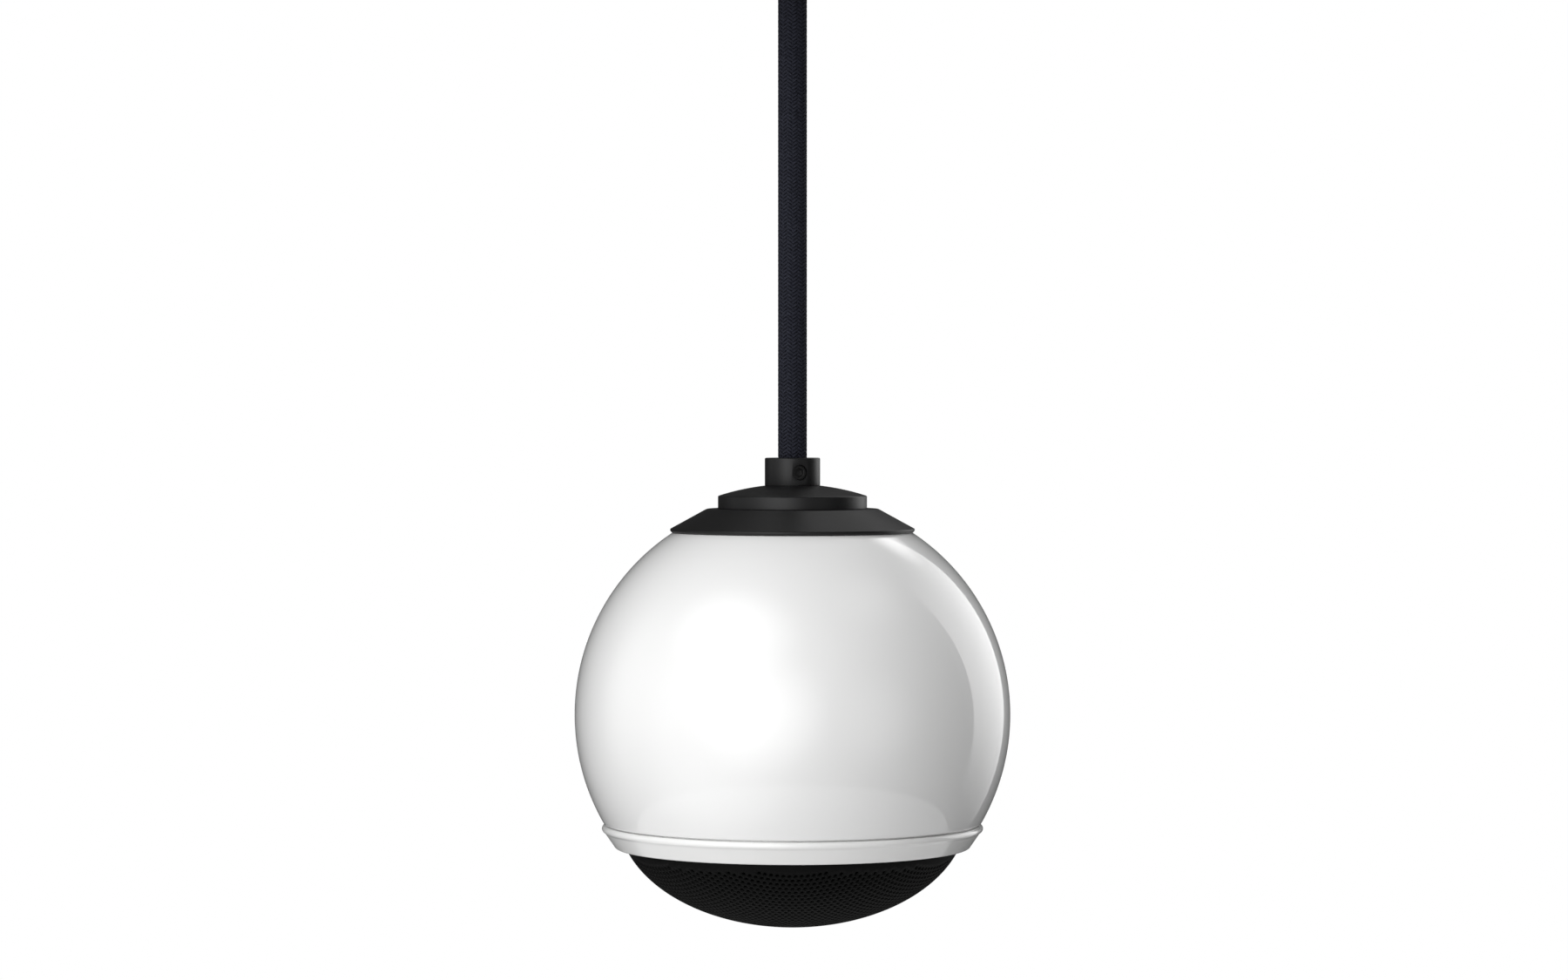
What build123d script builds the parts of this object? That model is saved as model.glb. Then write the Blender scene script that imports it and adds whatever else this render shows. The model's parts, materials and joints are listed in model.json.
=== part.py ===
from build123d import *
import os
from math import cos, radians, sin, sqrt

os.makedirs("parts", exist_ok=True)

# A ball-shaped pendant speaker on a taut textile cord, with the ceiling rose that carries it.
# The origin is the middle of the rose's face on the ceiling. Everything hangs below it, along -Z.
# The front of the speaker is towards -Y. All sizes are in millimetres.

# Ball: a spun steel shell with a hole at the top and a mouth with a turned-in lip at the bottom
ball_radius = 51.0
ball_drop = 204.0  # from the ceiling to the ball's centre
shell_wall = 1.2
mouth_drop = 25.6  # from the ball's centre to the mouth
lip_width = 7.1
mouth_edge = 0.25  # rounding of the shell's edge at the mouth

# Trim ring under the mouth: a shadow gap, a bead and a tapered band
shadow_gap = 0.2
gap_depth = 1.0  # how far the shadow gap runs in from the shell's edge
bead_radius = 0.85
bead_inset = 0.31  # from the shell's edge in to the bead's centre
band_inset = 0.6  # from the shell's edge in to the band's top
band_taper = 2.05  # how far the band draws in on its way down
trim_height = 5.6
trim_rebate = 2.2  # from the shell's edge in to the wall that goes round the baffle
trim_corner = 0.5
trim_lip = 2.1  # width of the ring's lower face
trim_fit = 0.1

# Grille: a pressed steel dome with a short skirt and a flange
grille_sheet = 0.8
grille_bulge = 26.3  # depth of the dome's ellipse
grille_rise = 2.2  # from the mouth up to the ellipse's centre
grille_spread = 1.8  # how much wider the ellipse is than the skirt
grille_fit = 0.2

# Baffle and its screws
baffle_thickness = 2.2
baffle_screw_radius = 1.2
baffle_screw_head = 2.1
baffle_screw_inset = 2.4  # from the baffle's edge in to the screws
screw_fit = 0.1
recess_depth = 0.7  # depth of the drive recess in small screws
recess_width = 0.5
recess_length = 1.5
slot_width = 0.8

# Driver, which faces down
flange_gap = 0.9  # between the driver's flange and the grille's skirt
flange_width = 4.7
flange_sheet = 1.0
gasket_thickness = 0.6
cutout_gap = 0.7
driver_screw_radius = 1.15
driver_screw_head = 2.1
driver_screw_head_height = 1.5
driver_screw_bite = 2.0  # how deep the screws go into the baffle
basket_sheet = 1.0
basket_depth = 17.0  # from the flange's front to the front plate
basket_straight = 3.0  # straight wall above the flange
neck_height = 5.0  # straight wall under the front plate
neck_margin = 1.2  # from the front plate out to the inside of the neck
ledge_width = 3.0  # ledge that carries the spider
window_count = 6
window_rib = 7.0
front_plate_radius = 25.0
front_plate_thickness = 4.0
magnet_radius = 27.5
magnet_height = 10.0
magnet_chamfer = 0.8
magnet_step = 1.4  # how much wider the magnet's hole is than the front plate's
back_plate_thickness = 4.0
pole_radius = 12.0
pole_vent_radius = 2.5
coil_gap = 0.35  # running clearance on each side of the voice coil
former_wall = 0.25
winding_wall = 0.6
winding_height = 8.0
cone_sheet = 0.4
cone_depth = 9.0
cone_lip = 1.6
glue_line = 0.05
surround_sheet = 0.4
roll_radius = 2.2
surround_land = 1.6
spider_sheet = 0.4
spider_wave = 0.9  # height of its corrugations
spider_waves = 3
dust_cap_rise = 4.0
dust_cap_overlap = 1.2  # how far outside the former the dust cap is glued
strip_width = 14.0
strip_height = 6.0
strip_thickness = 1.6
strip_lift = 0.4  # from the ledge up to the strip's foot
tag_spacing = 8.0
tag_width = 3.0
tag_thickness = 0.5
tag_height = 9.5
tag_drop = 2.0  # from the ledge down to the tags' foot
tinsel_radius = 0.35

# Wiring and lining inside the ball
core_radius = 0.9
core_spacing = 3.0
lining_thickness = 6.0
lining_gap = 0.2
lining_foot_angle = 6.0  # degrees above the ball's middle
lining_top_angle = 46.0

# Seat ring on top of the ball, with a plug that goes into the shell's hole
seat_radius = 28.64
seat_rim = 1.15
seat_cover = 0.83  # from the edge of the shell's hole up to the seat ring's top
seat_ledge = 1.07  # from the shell's hole out to where the seat ring's top meets its cone
seat_shoulder = 1.2
seat_overlap = 9.64  # how far the seat ring laps over the shell
seat_gap = 0.05
plug_fit = 0.1
plug_depth = 4.5
clamp_plate_thickness = 1.5

# Domed disc on the seat ring
disc_radius = 17.45
disc_rim = 3.0
disc_rise = 2.4
disc_edge = 0.3

# Cord and the two grips that hold it
cord_radius = 3.35
cord_slack = 0.15
collar_radius = 6.48
collar_height = 6.5
collar_edge = 0.35
spigot_radius = 5.0
spigot_fit = 0.1
thread_fit = 0.03
spigot_show = 1.5  # how far the spigot shows past its nut
nut_across = 14.0
nut_height = 3.0
grub_hole_radius = 1.8
grub_fit = 0.08
grub_recess = 0.8
grub_rise = 3.1  # from the collar's foot to the grub screw
grub_turn = 16.0  # degrees round from the front, to the right
grub_socket_across = 1.8
grub_socket_depth = 1.0
ferrule_wall = 1.5
ferrule_length = 4.0
cord_tail = 2.0  # how far the cord shows past its ferrule

# Ceiling rose: a cup over a bracket
rose_radius = 40.0
rose_depth = 26.0
rose_wall = 1.2
rose_corner = 4.0
bracket_width = 16.0
bracket_sheet = 1.5
bracket_fall = 15.0  # length of its bent ends
bracket_gap = 0.3
ceiling_hole_spacing = 56.0
ceiling_hole_radius = 2.5
side_screw_radius = 1.5
side_screw_drop = 10.0
side_screw_head = 2.8
side_screw_head_height = 1.8

# Terminal block under the bracket
block_length = 12.0  # along the wires
block_width = 18.0
block_height = 11.0
block_inset = 8.5  # from the cord's axis
pole_pitch = 8.0
block_bore_radius = 1.5
clamp_screw_radius = 1.35
clamp_screw_recess = 0.5
block_screw_radius = 1.3
block_screw_head = 2.4
block_screw_head_height = 1.6
tail_entry = 3.0  # how far a tail goes into the block


def height_on_ball(radius, ball):
    """Height above its centre at which a ball of this size has this radius."""
    return sqrt(ball**2 - radius**2)


def point_on_ball(angle, ball):
    """Radius and height of the point at this angle above the middle of a ball of this size."""
    return (ball * cos(radians(angle)), -ball_drop + ball * sin(radians(angle)))


def corner(section, radius, height):
    """The vertex of a section that is nearest to this point."""
    return section.vertices().sort_by_distance(Vector(radius, height, 0))[0]


# Places worked out from the sizes above: the top of the ball
ball_z = -ball_drop
inner_radius = ball_radius - shell_wall
top_hole_radius = seat_radius - seat_overlap
seat_foot_z = ball_z + height_on_ball(seat_radius, ball_radius + seat_gap)
seat_top_z = ball_z + height_on_ball(top_hole_radius, ball_radius) + seat_cover
plug_z = seat_top_z - plug_depth
plug_radius = top_hole_radius - plug_fit
shoulder_radius = top_hole_radius + seat_ledge
disc_rim_z = seat_top_z + disc_rim
disc_top_z = disc_rim_z + disc_rise
spigot_hole_radius = spigot_radius + spigot_fit
nut_top_z = plug_z - clamp_plate_thickness
spigot_foot_z = nut_top_z - nut_height - spigot_show
cord_foot_z = spigot_foot_z - ferrule_length - cord_tail
bore_radius = cord_radius + cord_slack

# Places round the mouth
mouth_z = ball_z - mouth_drop
mouth_radius = height_on_ball(mouth_drop, ball_radius)
lip_radius = mouth_radius - lip_width
trim_bore_radius = mouth_radius - trim_rebate
baffle_radius = trim_bore_radius - trim_fit
baffle_z = mouth_z - baffle_thickness
grille_flange_z = baffle_z - grille_sheet
trim_foot_z = mouth_z - trim_height
bead_z = mouth_z - shadow_gap - bead_radius
band_top_radius = mouth_radius - band_inset
band_foot_radius = band_top_radius - band_taper
trim_lip_radius = band_foot_radius - trim_lip
skirt_radius = trim_lip_radius - grille_fit
baffle_screw_circle = baffle_radius - baffle_screw_inset

# Places in the driver
driver_radius = skirt_radius - grille_sheet - flange_gap
basket_radius = driver_radius - flange_width
cutout_radius = basket_radius + cutout_gap
driver_screw_circle = (driver_radius + basket_radius) / 2
flange_back_z = baffle_z - gasket_thickness
flange_front_z = flange_back_z - flange_sheet
plate_z = flange_front_z + basket_depth
magnet_z = plate_z + front_plate_thickness
back_plate_z = magnet_z + magnet_height
former_radius = pole_radius + coil_gap
former_outer_radius = former_radius + former_wall
winding_radius = former_outer_radius + winding_wall
plate_hole_radius = winding_radius + coil_gap
magnet_hole_radius = plate_hole_radius + magnet_step
winding_z = plate_z + (front_plate_thickness - winding_height) / 2
neck_radius = front_plate_radius + neck_margin + basket_sheet
ledge_z = plate_z - neck_height
ledge_radius = neck_radius - basket_sheet - ledge_width
surround_radius = basket_radius
roll_centre = surround_radius - surround_land - roll_radius
cone_radius = roll_centre - roll_radius + surround_sheet
cone_flat_radius = cone_radius - cone_lip
cone_neck_radius = former_outer_radius + glue_line
cone_back_z = flange_front_z + cone_sheet
cone_neck_z = cone_back_z + cone_depth
cone_slope = cone_depth / (cone_flat_radius - cone_neck_radius)
spider_z = ledge_z - spider_sheet
strip_y = neck_radius + glue_line
strip_z = ledge_z + strip_lift
tag_y = strip_y + strip_thickness
tag_foot_z = ledge_z - tag_drop
tag_top_z = tag_foot_z + tag_height

# Places in the ceiling rose
cup_floor_z = rose_wall - rose_depth
cup_inner_radius = rose_radius - rose_wall
rose_spigot_top_z = cup_floor_z + nut_height + spigot_show
cord_top_z = rose_spigot_top_z + ferrule_length + cord_tail
tab_x = sqrt(cup_inner_radius**2 - (bracket_width / 2) ** 2) - bracket_gap
block_top_z = -bracket_sheet
block_foot_z = block_top_z - block_height
block_bore_z = block_top_z - block_height / 2


# The shell is spun from one sheet. Its mouth ends in a lip that the baffle is screwed to.
with BuildPart() as shell:
    with BuildSketch(Plane.XZ) as section:
        with BuildLine():
            outer_foot = (mouth_radius, mouth_z)
            outer_top = (top_hole_radius, ball_z + height_on_ball(top_hole_radius, ball_radius))
            inner_top = (top_hole_radius, ball_z + height_on_ball(top_hole_radius, inner_radius))
            lip_z = mouth_z + shell_wall
            inner_foot = (height_on_ball(mouth_drop - shell_wall, inner_radius), lip_z)
            ThreePointArc(outer_foot, (ball_radius, ball_z), outer_top)
            Line(outer_top, inner_top)
            ThreePointArc(inner_top, (inner_radius, ball_z), inner_foot)
            Polyline(inner_foot, (lip_radius, lip_z), (lip_radius, mouth_z), outer_foot)
        make_face()
        fillet(corner(section, *outer_foot), radius=mouth_edge)
    revolve(axis=Axis.Z)
    with BuildSketch(Plane.XY.offset(mouth_z)):
        with PolarLocations(baffle_screw_circle, 4):
            Circle(baffle_screw_radius + thread_fit)
    extrude(amount=shell_wall, mode=Mode.SUBTRACT)
shell.part.label = "shell"
export_step(shell.part, "parts/shell.step")

# Foam lining, glued inside the upper half of the shell
with BuildPart() as foam_lining:
    with BuildSketch(Plane.XZ):
        lining_outer = inner_radius - lining_gap
        lining_inner = lining_outer - lining_thickness
        with BuildLine():
            middle = (lining_foot_angle + lining_top_angle) / 2
            outer_foot = point_on_ball(lining_foot_angle, lining_outer)
            outer_top = point_on_ball(lining_top_angle, lining_outer)
            inner_top = point_on_ball(lining_top_angle, lining_inner)
            inner_foot = point_on_ball(lining_foot_angle, lining_inner)
            ThreePointArc(outer_foot, point_on_ball(middle, lining_outer), outer_top)
            Line(outer_top, inner_top)
            ThreePointArc(inner_top, point_on_ball(middle, lining_inner), inner_foot)
            Line(inner_foot, outer_foot)
        make_face()
    revolve(axis=Axis.Z)
foam_lining.part.label = "foam_lining"
export_step(foam_lining.part, "parts/foam_lining.step")

# The seat ring is one moulding: a cone outside, and a plug that locates in the shell's hole
with BuildPart() as seat_ring:
    with BuildSketch(Plane.XZ) as section:
        under_ball = ball_radius + seat_gap
        foot = (seat_radius, seat_foot_z)
        root = (plug_radius, ball_z + height_on_ball(plug_radius, under_ball))
        halfway = (seat_radius + plug_radius) / 2
        with BuildLine():
            ThreePointArc(root, (halfway, ball_z + height_on_ball(halfway, under_ball)), foot)
            Polyline(
                foot,
                (seat_radius, seat_foot_z + seat_rim),
                (shoulder_radius, seat_top_z),
                (spigot_hole_radius, seat_top_z),
                (spigot_hole_radius, plug_z),
                (plug_radius, plug_z),
                root,
            )
        make_face()
        fillet(corner(section, shoulder_radius, seat_top_z), radius=seat_shoulder)
    revolve(axis=Axis.Z)
seat_ring.part.label = "seat_ring"
export_step(seat_ring.part, "parts/seat_ring.step")

# The disc is turned: a straight rim and a shallow dome up to the collar
with BuildPart() as top_disc:
    with BuildSketch(Plane.XZ) as section:
        dome_z = disc_rim_z - (disc_radius**2 - collar_radius**2 - disc_rise**2) / (2 * disc_rise)
        dome_radius = sqrt((disc_rim_z - dome_z) ** 2 + disc_radius**2)
        halfway = (disc_radius + collar_radius) / 2
        rim_top = (disc_radius, disc_rim_z)
        crown = (collar_radius, disc_top_z)
        with BuildLine():
            ThreePointArc(rim_top, (halfway, dome_z + height_on_ball(halfway, dome_radius)), crown)
            Polyline(
                crown,
                (spigot_hole_radius, disc_top_z),
                (spigot_hole_radius, seat_top_z),
                (disc_radius, seat_top_z),
                rim_top,
            )
        make_face()
        fillet(corner(section, *rim_top), radius=disc_edge)
    revolve(axis=Axis.Z)
top_disc.part.label = "top_disc"
export_step(top_disc.part, "parts/top_disc.step")

# The clamp plate spans the shell's hole from inside and bears on the shell all round
with BuildPart() as clamp_plate:
    with BuildSketch(Plane.XY.offset(nut_top_z)):
        Circle(height_on_ball(plug_z - ball_z, inner_radius) - seat_gap)
        Circle(spigot_hole_radius, mode=Mode.SUBTRACT)
    extrude(amount=clamp_plate_thickness)
clamp_plate.part.label = "clamp_plate"
export_step(clamp_plate.part, "parts/clamp_plate.step")


def grub_plane(height):
    """Plane across the line of a grub screw, on the cord's axis at this height."""
    turn = radians(grub_turn - 90)
    return Plane(origin=(0, 0, height), z_dir=(cos(turn), sin(turn), 0))


def cord_grip(seat_z, away, reach):
    """Collar and hollow spigot in one turned piece, with the collar on the side that away gives."""
    free_z = seat_z + away * collar_height
    spigot_end_z = seat_z - away * reach
    with BuildPart() as grip:
        with BuildSketch(Plane.XZ) as section:
            with BuildLine():
                Polyline(
                    (bore_radius, free_z),
                    (collar_radius, free_z),
                    (collar_radius, seat_z),
                    (spigot_radius, seat_z),
                    (spigot_radius, spigot_end_z),
                    (bore_radius, spigot_end_z),
                    (bore_radius, free_z),
                )
            make_face()
            fillet(corner(section, collar_radius, free_z), radius=collar_edge)
        revolve(axis=Axis.Z)
        with BuildSketch(grub_plane(seat_z + away * grub_rise)):
            Circle(grub_hole_radius)
        extrude(amount=collar_radius, mode=Mode.SUBTRACT)
    return grip


def grub_screw(height):
    """Socket screw that pinches the cord through the collar's side."""
    tip = cord_radius + glue_line
    face = collar_radius - grub_recess
    plane = grub_plane(height)
    with BuildPart() as screw:
        with BuildSketch(plane.offset(tip)):
            Circle(grub_hole_radius - grub_fit)
        extrude(amount=face - tip)
        with BuildSketch(plane.offset(face)):
            RegularPolygon(grub_socket_across / 2, 6, major_radius=False)
        extrude(amount=-grub_socket_depth, mode=Mode.SUBTRACT)
    return screw


def grip_nut(foot_z):
    """Thin hexagon nut on a grip's spigot."""
    with BuildPart() as nut:
        with BuildSketch(Plane.XY.offset(foot_z)):
            RegularPolygon(nut_across / 2, 6, major_radius=False)
            Circle(spigot_radius + thread_fit, mode=Mode.SUBTRACT)
        extrude(amount=nut_height)
    return nut


def ferrule(foot_z):
    """Sleeve crimped on the cord, too wide to pass the spigot."""
    with BuildPart() as sleeve:
        with BuildSketch(Plane.XY.offset(foot_z)):
            Circle(cord_radius + glue_line + ferrule_wall)
            Circle(cord_radius + glue_line, mode=Mode.SUBTRACT)
        extrude(amount=ferrule_length)
    return sleeve


# The grip on the ball: collar on the disc, spigot down through disc, seat ring and clamp plate
cord_collar = cord_grip(disc_top_z, 1, disc_top_z - spigot_foot_z)
cord_collar.part.label = "cord_collar"
export_step(cord_collar.part, "parts/cord_collar.step")

collar_grub_screw = grub_screw(disc_top_z + grub_rise)
collar_grub_screw.part.label = "collar_grub_screw"
export_step(collar_grub_screw.part, "parts/collar_grub_screw.step")

collar_nut = grip_nut(nut_top_z - nut_height)
collar_nut.part.label = "collar_nut"
export_step(collar_nut.part, "parts/collar_nut.step")

lower_ferrule = ferrule(spigot_foot_z - ferrule_length)
lower_ferrule.part.label = "lower_ferrule"
export_step(lower_ferrule.part, "parts/lower_ferrule.step")

# The cord is taut, from inside the ball to inside the rose
with BuildPart() as cord:
    with BuildSketch(Plane.XY.offset(cord_foot_z)):
        Circle(cord_radius)
    extrude(amount=cord_top_z - cord_foot_z)
cord.part.label = "cord"
export_step(cord.part, "parts/cord.step")

# The trim ring seats on the shell's lip, goes round the baffle and traps the grille's flange
with BuildPart() as trim_ring:
    with BuildSketch(Plane.XZ) as section:
        shoulder = mouth_radius - gap_depth
        bead_centre = mouth_radius - bead_inset
        band_foot = (band_foot_radius, trim_foot_z)
        bead_top = (bead_centre, bead_z + bead_radius)
        bead_foot = (bead_centre, bead_z - bead_radius)
        with BuildLine():
            ThreePointArc(bead_top, (bead_centre + bead_radius, bead_z), bead_foot)
            Polyline(
                bead_foot,
                (band_top_radius, bead_z - bead_radius),
                band_foot,
                (trim_lip_radius, trim_foot_z),
                (trim_lip_radius, grille_flange_z),
                (trim_bore_radius, grille_flange_z),
                (trim_bore_radius, mouth_z),
                (shoulder, mouth_z),
                (shoulder, mouth_z - shadow_gap),
                bead_top,
            )
        make_face()
        fillet(corner(section, *band_foot), radius=trim_corner)
    revolve(axis=Axis.Z)
trim_ring.part.label = "trim_ring"
export_step(trim_ring.part, "parts/trim_ring.step")

# The grille's dome is half an ellipse, cut off where it meets the skirt. Its holes are too fine for solids.
with BuildPart() as grille:
    with BuildSketch(Plane.XZ):
        dome_z = mouth_z + grille_rise
        wide = skirt_radius + grille_spread
        with Locations((0, dome_z)):
            Ellipse(wide, grille_bulge)
            Ellipse(wide - grille_sheet, grille_bulge - grille_sheet, mode=Mode.SUBTRACT)
        skirt_foot_z = dome_z - grille_bulge * sqrt(1 - (skirt_radius / wide) ** 2)
        with Locations((0, skirt_foot_z)):
            Rectangle(2 * wide, 4 * wide, align=(Align.CENTER, Align.MIN), mode=Mode.SUBTRACT)
            Rectangle(2 * wide, 4 * grille_bulge, align=(Align.MAX, Align.CENTER), mode=Mode.SUBTRACT)
        skirt_height = grille_flange_z + grille_sheet - skirt_foot_z
        with Locations((skirt_radius, skirt_foot_z)):
            Rectangle(grille_sheet, skirt_height, align=(Align.MAX, Align.MIN))
        flange_radius = baffle_radius - trim_fit
        with Locations((flange_radius, grille_flange_z)):
            flange_length = flange_radius - skirt_radius + grille_sheet
            Rectangle(flange_length, grille_sheet, align=(Align.MAX, Align.MIN))
    revolve(axis=Axis.Z)
grille.part.label = "grille"
export_step(grille.part, "parts/grille.step")

# The baffle closes the mouth and carries the driver
with BuildPart() as baffle_ring:
    with BuildSketch(Plane.XY.offset(baffle_z)):
        Circle(baffle_radius)
        Circle(cutout_radius, mode=Mode.SUBTRACT)
        with PolarLocations(driver_screw_circle, 4, start_angle=45):
            Circle(driver_screw_radius + thread_fit, mode=Mode.SUBTRACT)
    extrude(amount=baffle_thickness)
    with Locations(Plane(origin=(0, 0, baffle_z), z_dir=(0, 0, -1))):
        with PolarLocations(baffle_screw_circle, 4):
            CounterSinkHole(baffle_screw_radius + screw_fit, baffle_screw_head + screw_fit)
baffle_ring.part.label = "baffle_ring"
export_step(baffle_ring.part, "parts/baffle_ring.step")

# Countersunk screws that hold the baffle to the shell's lip
with BuildPart() as baffle_screws:
    head_height = baffle_screw_head - baffle_screw_radius
    with Locations((0, 0, baffle_z)):
        with PolarLocations(baffle_screw_circle, 4):
            Cone(
                baffle_screw_head,
                baffle_screw_radius,
                head_height,
                align=(Align.CENTER, Align.CENTER, Align.MIN),
            )
    with Locations((0, 0, baffle_z + head_height)):
        with PolarLocations(baffle_screw_circle, 4):
            Cylinder(
                baffle_screw_radius,
                baffle_thickness + shell_wall - head_height,
                align=(Align.CENTER, Align.CENTER, Align.MIN),
            )
    with BuildSketch(Plane.XY.offset(baffle_z)):
        with PolarLocations(baffle_screw_circle, 4):
            Rectangle(recess_length, recess_width)
            Rectangle(recess_width, recess_length)
    extrude(amount=recess_depth, mode=Mode.SUBTRACT)
baffle_screws.part.label = "baffle_screws"
export_step(baffle_screws.part, "parts/baffle_screws.step")

# Driver: gasket between flange and baffle
with BuildPart() as driver_gasket:
    with BuildSketch(Plane.XY.offset(flange_back_z)):
        Circle(driver_radius)
        Circle(cutout_radius, mode=Mode.SUBTRACT)
        with PolarLocations(driver_screw_circle, 4, start_angle=45):
            Circle(driver_screw_radius + screw_fit, mode=Mode.SUBTRACT)
    extrude(amount=gasket_thickness)
driver_gasket.part.label = "driver_gasket"
export_step(driver_gasket.part, "parts/driver_gasket.step")

# Driver: pressed basket with windows, a ledge for the spider and a seat for the front plate
with BuildPart() as driver_basket:
    wall_top_z = flange_back_z + basket_straight
    opening_radius = surround_radius - surround_land
    with BuildSketch(Plane.XZ):
        with BuildLine():
            Polyline(
                (driver_radius, flange_front_z),
                (driver_radius, flange_back_z),
                (basket_radius, flange_back_z),
                (basket_radius, wall_top_z),
                (neck_radius, ledge_z),
                (neck_radius, plate_z),
                (magnet_hole_radius, plate_z),
                (magnet_hole_radius, plate_z - basket_sheet),
                (neck_radius - basket_sheet, plate_z - basket_sheet),
                (neck_radius - basket_sheet, ledge_z + basket_sheet),
                (ledge_radius, ledge_z + basket_sheet),
                (ledge_radius, ledge_z),
                (neck_radius - basket_sheet, ledge_z),
                (basket_radius - basket_sheet, wall_top_z),
                (basket_radius - basket_sheet, flange_back_z),
                (opening_radius, flange_back_z),
                (opening_radius, flange_front_z),
                (driver_radius, flange_front_z),
            )
        make_face()
    revolve(axis=Axis.Z)
    with BuildSketch(Plane.XY.offset(wall_top_z + basket_sheet)):
        Circle(driver_radius + neck_radius)
        with PolarLocations((basket_radius + neck_radius) / 2, window_count):
            Rectangle(basket_radius + neck_radius, window_rib, mode=Mode.SUBTRACT)
    extrude(amount=ledge_z - wall_top_z - 2 * basket_sheet, mode=Mode.SUBTRACT)
    with BuildSketch(Plane.XY.offset(flange_front_z)):
        with PolarLocations(driver_screw_circle, 4, start_angle=45):
            Circle(driver_screw_radius + screw_fit)
    extrude(amount=flange_sheet, mode=Mode.SUBTRACT)
driver_basket.part.label = "driver_basket"
export_step(driver_basket.part, "parts/driver_basket.step")

# Driver: screws that hold its flange to the baffle
with BuildPart() as driver_screws:
    shank = flange_sheet + gasket_thickness + driver_screw_bite
    head_z = flange_front_z - driver_screw_head_height
    with Locations((0, 0, flange_front_z)):
        with PolarLocations(driver_screw_circle, 4, start_angle=45):
            Cylinder(driver_screw_radius, shank, align=(Align.CENTER, Align.CENTER, Align.MIN))
            Cylinder(
                driver_screw_head,
                driver_screw_head_height,
                align=(Align.CENTER, Align.CENTER, Align.MAX),
            )
    with BuildSketch(Plane.XY.offset(head_z)):
        with PolarLocations(driver_screw_circle, 4, start_angle=45):
            Rectangle(recess_length, recess_width)
            Rectangle(recess_width, recess_length)
    extrude(amount=recess_depth, mode=Mode.SUBTRACT)
driver_screws.part.label = "driver_screws"
export_step(driver_screws.part, "parts/driver_screws.step")

# Driver: magnet system
with BuildPart() as front_plate:
    with BuildSketch(Plane.XY.offset(plate_z)):
        Circle(front_plate_radius)
        Circle(plate_hole_radius, mode=Mode.SUBTRACT)
    extrude(amount=front_plate_thickness)
front_plate.part.label = "front_plate"
export_step(front_plate.part, "parts/front_plate.step")

with BuildPart() as magnet_ring:
    with BuildSketch(Plane.XY.offset(magnet_z)):
        Circle(magnet_radius)
        Circle(magnet_hole_radius, mode=Mode.SUBTRACT)
    extrude(amount=magnet_height)
    chamfer(magnet_ring.edges().filter_by(GeomType.CIRCLE).group_by(SortBy.RADIUS)[-1], magnet_chamfer)
magnet_ring.part.label = "magnet_ring"
export_step(magnet_ring.part, "parts/magnet_ring.step")

with BuildPart() as pole_plate:
    with BuildSketch(Plane.XY.offset(back_plate_z)):
        Circle(front_plate_radius)
    extrude(amount=back_plate_thickness)
    with BuildSketch(Plane.XY.offset(plate_z)):
        Circle(pole_radius)
    extrude(amount=back_plate_z - plate_z)
    with BuildSketch(Plane.XY.offset(plate_z)):
        Circle(pole_vent_radius)
    extrude(amount=back_plate_z + back_plate_thickness - plate_z, mode=Mode.SUBTRACT)
pole_plate.part.label = "pole_plate"
export_step(pole_plate.part, "parts/pole_plate.step")

# Diaphragm: former and winding
with BuildPart() as coil_former:
    with BuildSketch(Plane.XY.offset(cone_neck_z - cone_sheet)):
        Circle(former_outer_radius)
        Circle(former_radius, mode=Mode.SUBTRACT)
    extrude(amount=winding_z + winding_height + former_wall - cone_neck_z + cone_sheet)
coil_former.part.label = "coil_former"
export_step(coil_former.part, "parts/coil_former.step")

with BuildPart() as voice_coil:
    with BuildSketch(Plane.XY.offset(winding_z)):
        Circle(winding_radius)
        Circle(former_outer_radius, mode=Mode.SUBTRACT)
    extrude(amount=winding_height)
voice_coil.part.label = "voice_coil"
export_step(voice_coil.part, "parts/voice_coil.step")

# Diaphragm: paper cone with a flat lip, glued to the former at its neck
with BuildPart() as cone:
    with BuildSketch(Plane.XZ):
        with BuildLine():
            Polyline(
                (cone_neck_radius, cone_neck_z),
                (cone_flat_radius, cone_back_z),
                (cone_radius, cone_back_z),
                (cone_radius, cone_back_z - cone_sheet),
                (cone_flat_radius, cone_back_z - cone_sheet),
                (cone_neck_radius, cone_neck_z - cone_sheet),
                (cone_neck_radius, cone_neck_z),
            )
        make_face()
    revolve(axis=Axis.Z)
cone.part.label = "cone"
export_step(cone.part, "parts/cone.step")

# Diaphragm: dust cap, a shallow dome glued inside the cone
with BuildPart() as dust_cap:
    with BuildSketch(Plane.XZ):
        cap_radius = cone_neck_radius + dust_cap_overlap
        cap_z = cone_neck_z - cone_sheet - dust_cap_overlap * cone_slope - glue_line
        cap_foot = (0, cap_z - dust_cap_rise)
        cap_ball = (cap_radius**2 + dust_cap_rise**2) / (2 * dust_cap_rise)
        cap_centre = cap_foot[1] + cap_ball
        inner_ball = cap_ball - cone_sheet
        cap_edge = (cap_radius, cap_z)
        cap_bend = (cap_radius / 2, cap_centre - height_on_ball(cap_radius / 2, cap_ball))
        inner_edge = (sqrt(inner_ball**2 - (cap_centre - cap_z) ** 2), cap_z)
        inner_bend = (cap_radius / 2, cap_centre - height_on_ball(cap_radius / 2, inner_ball))
        inner_foot = (0, cap_foot[1] + cone_sheet)
        with BuildLine():
            ThreePointArc(cap_edge, cap_bend, cap_foot)
            Line(cap_foot, inner_foot)
            ThreePointArc(inner_foot, inner_bend, inner_edge)
            Line(inner_edge, cap_edge)
        make_face()
    revolve(axis=Axis.Z)
dust_cap.part.label = "dust_cap"
export_step(dust_cap.part, "parts/dust_cap.step")

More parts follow.
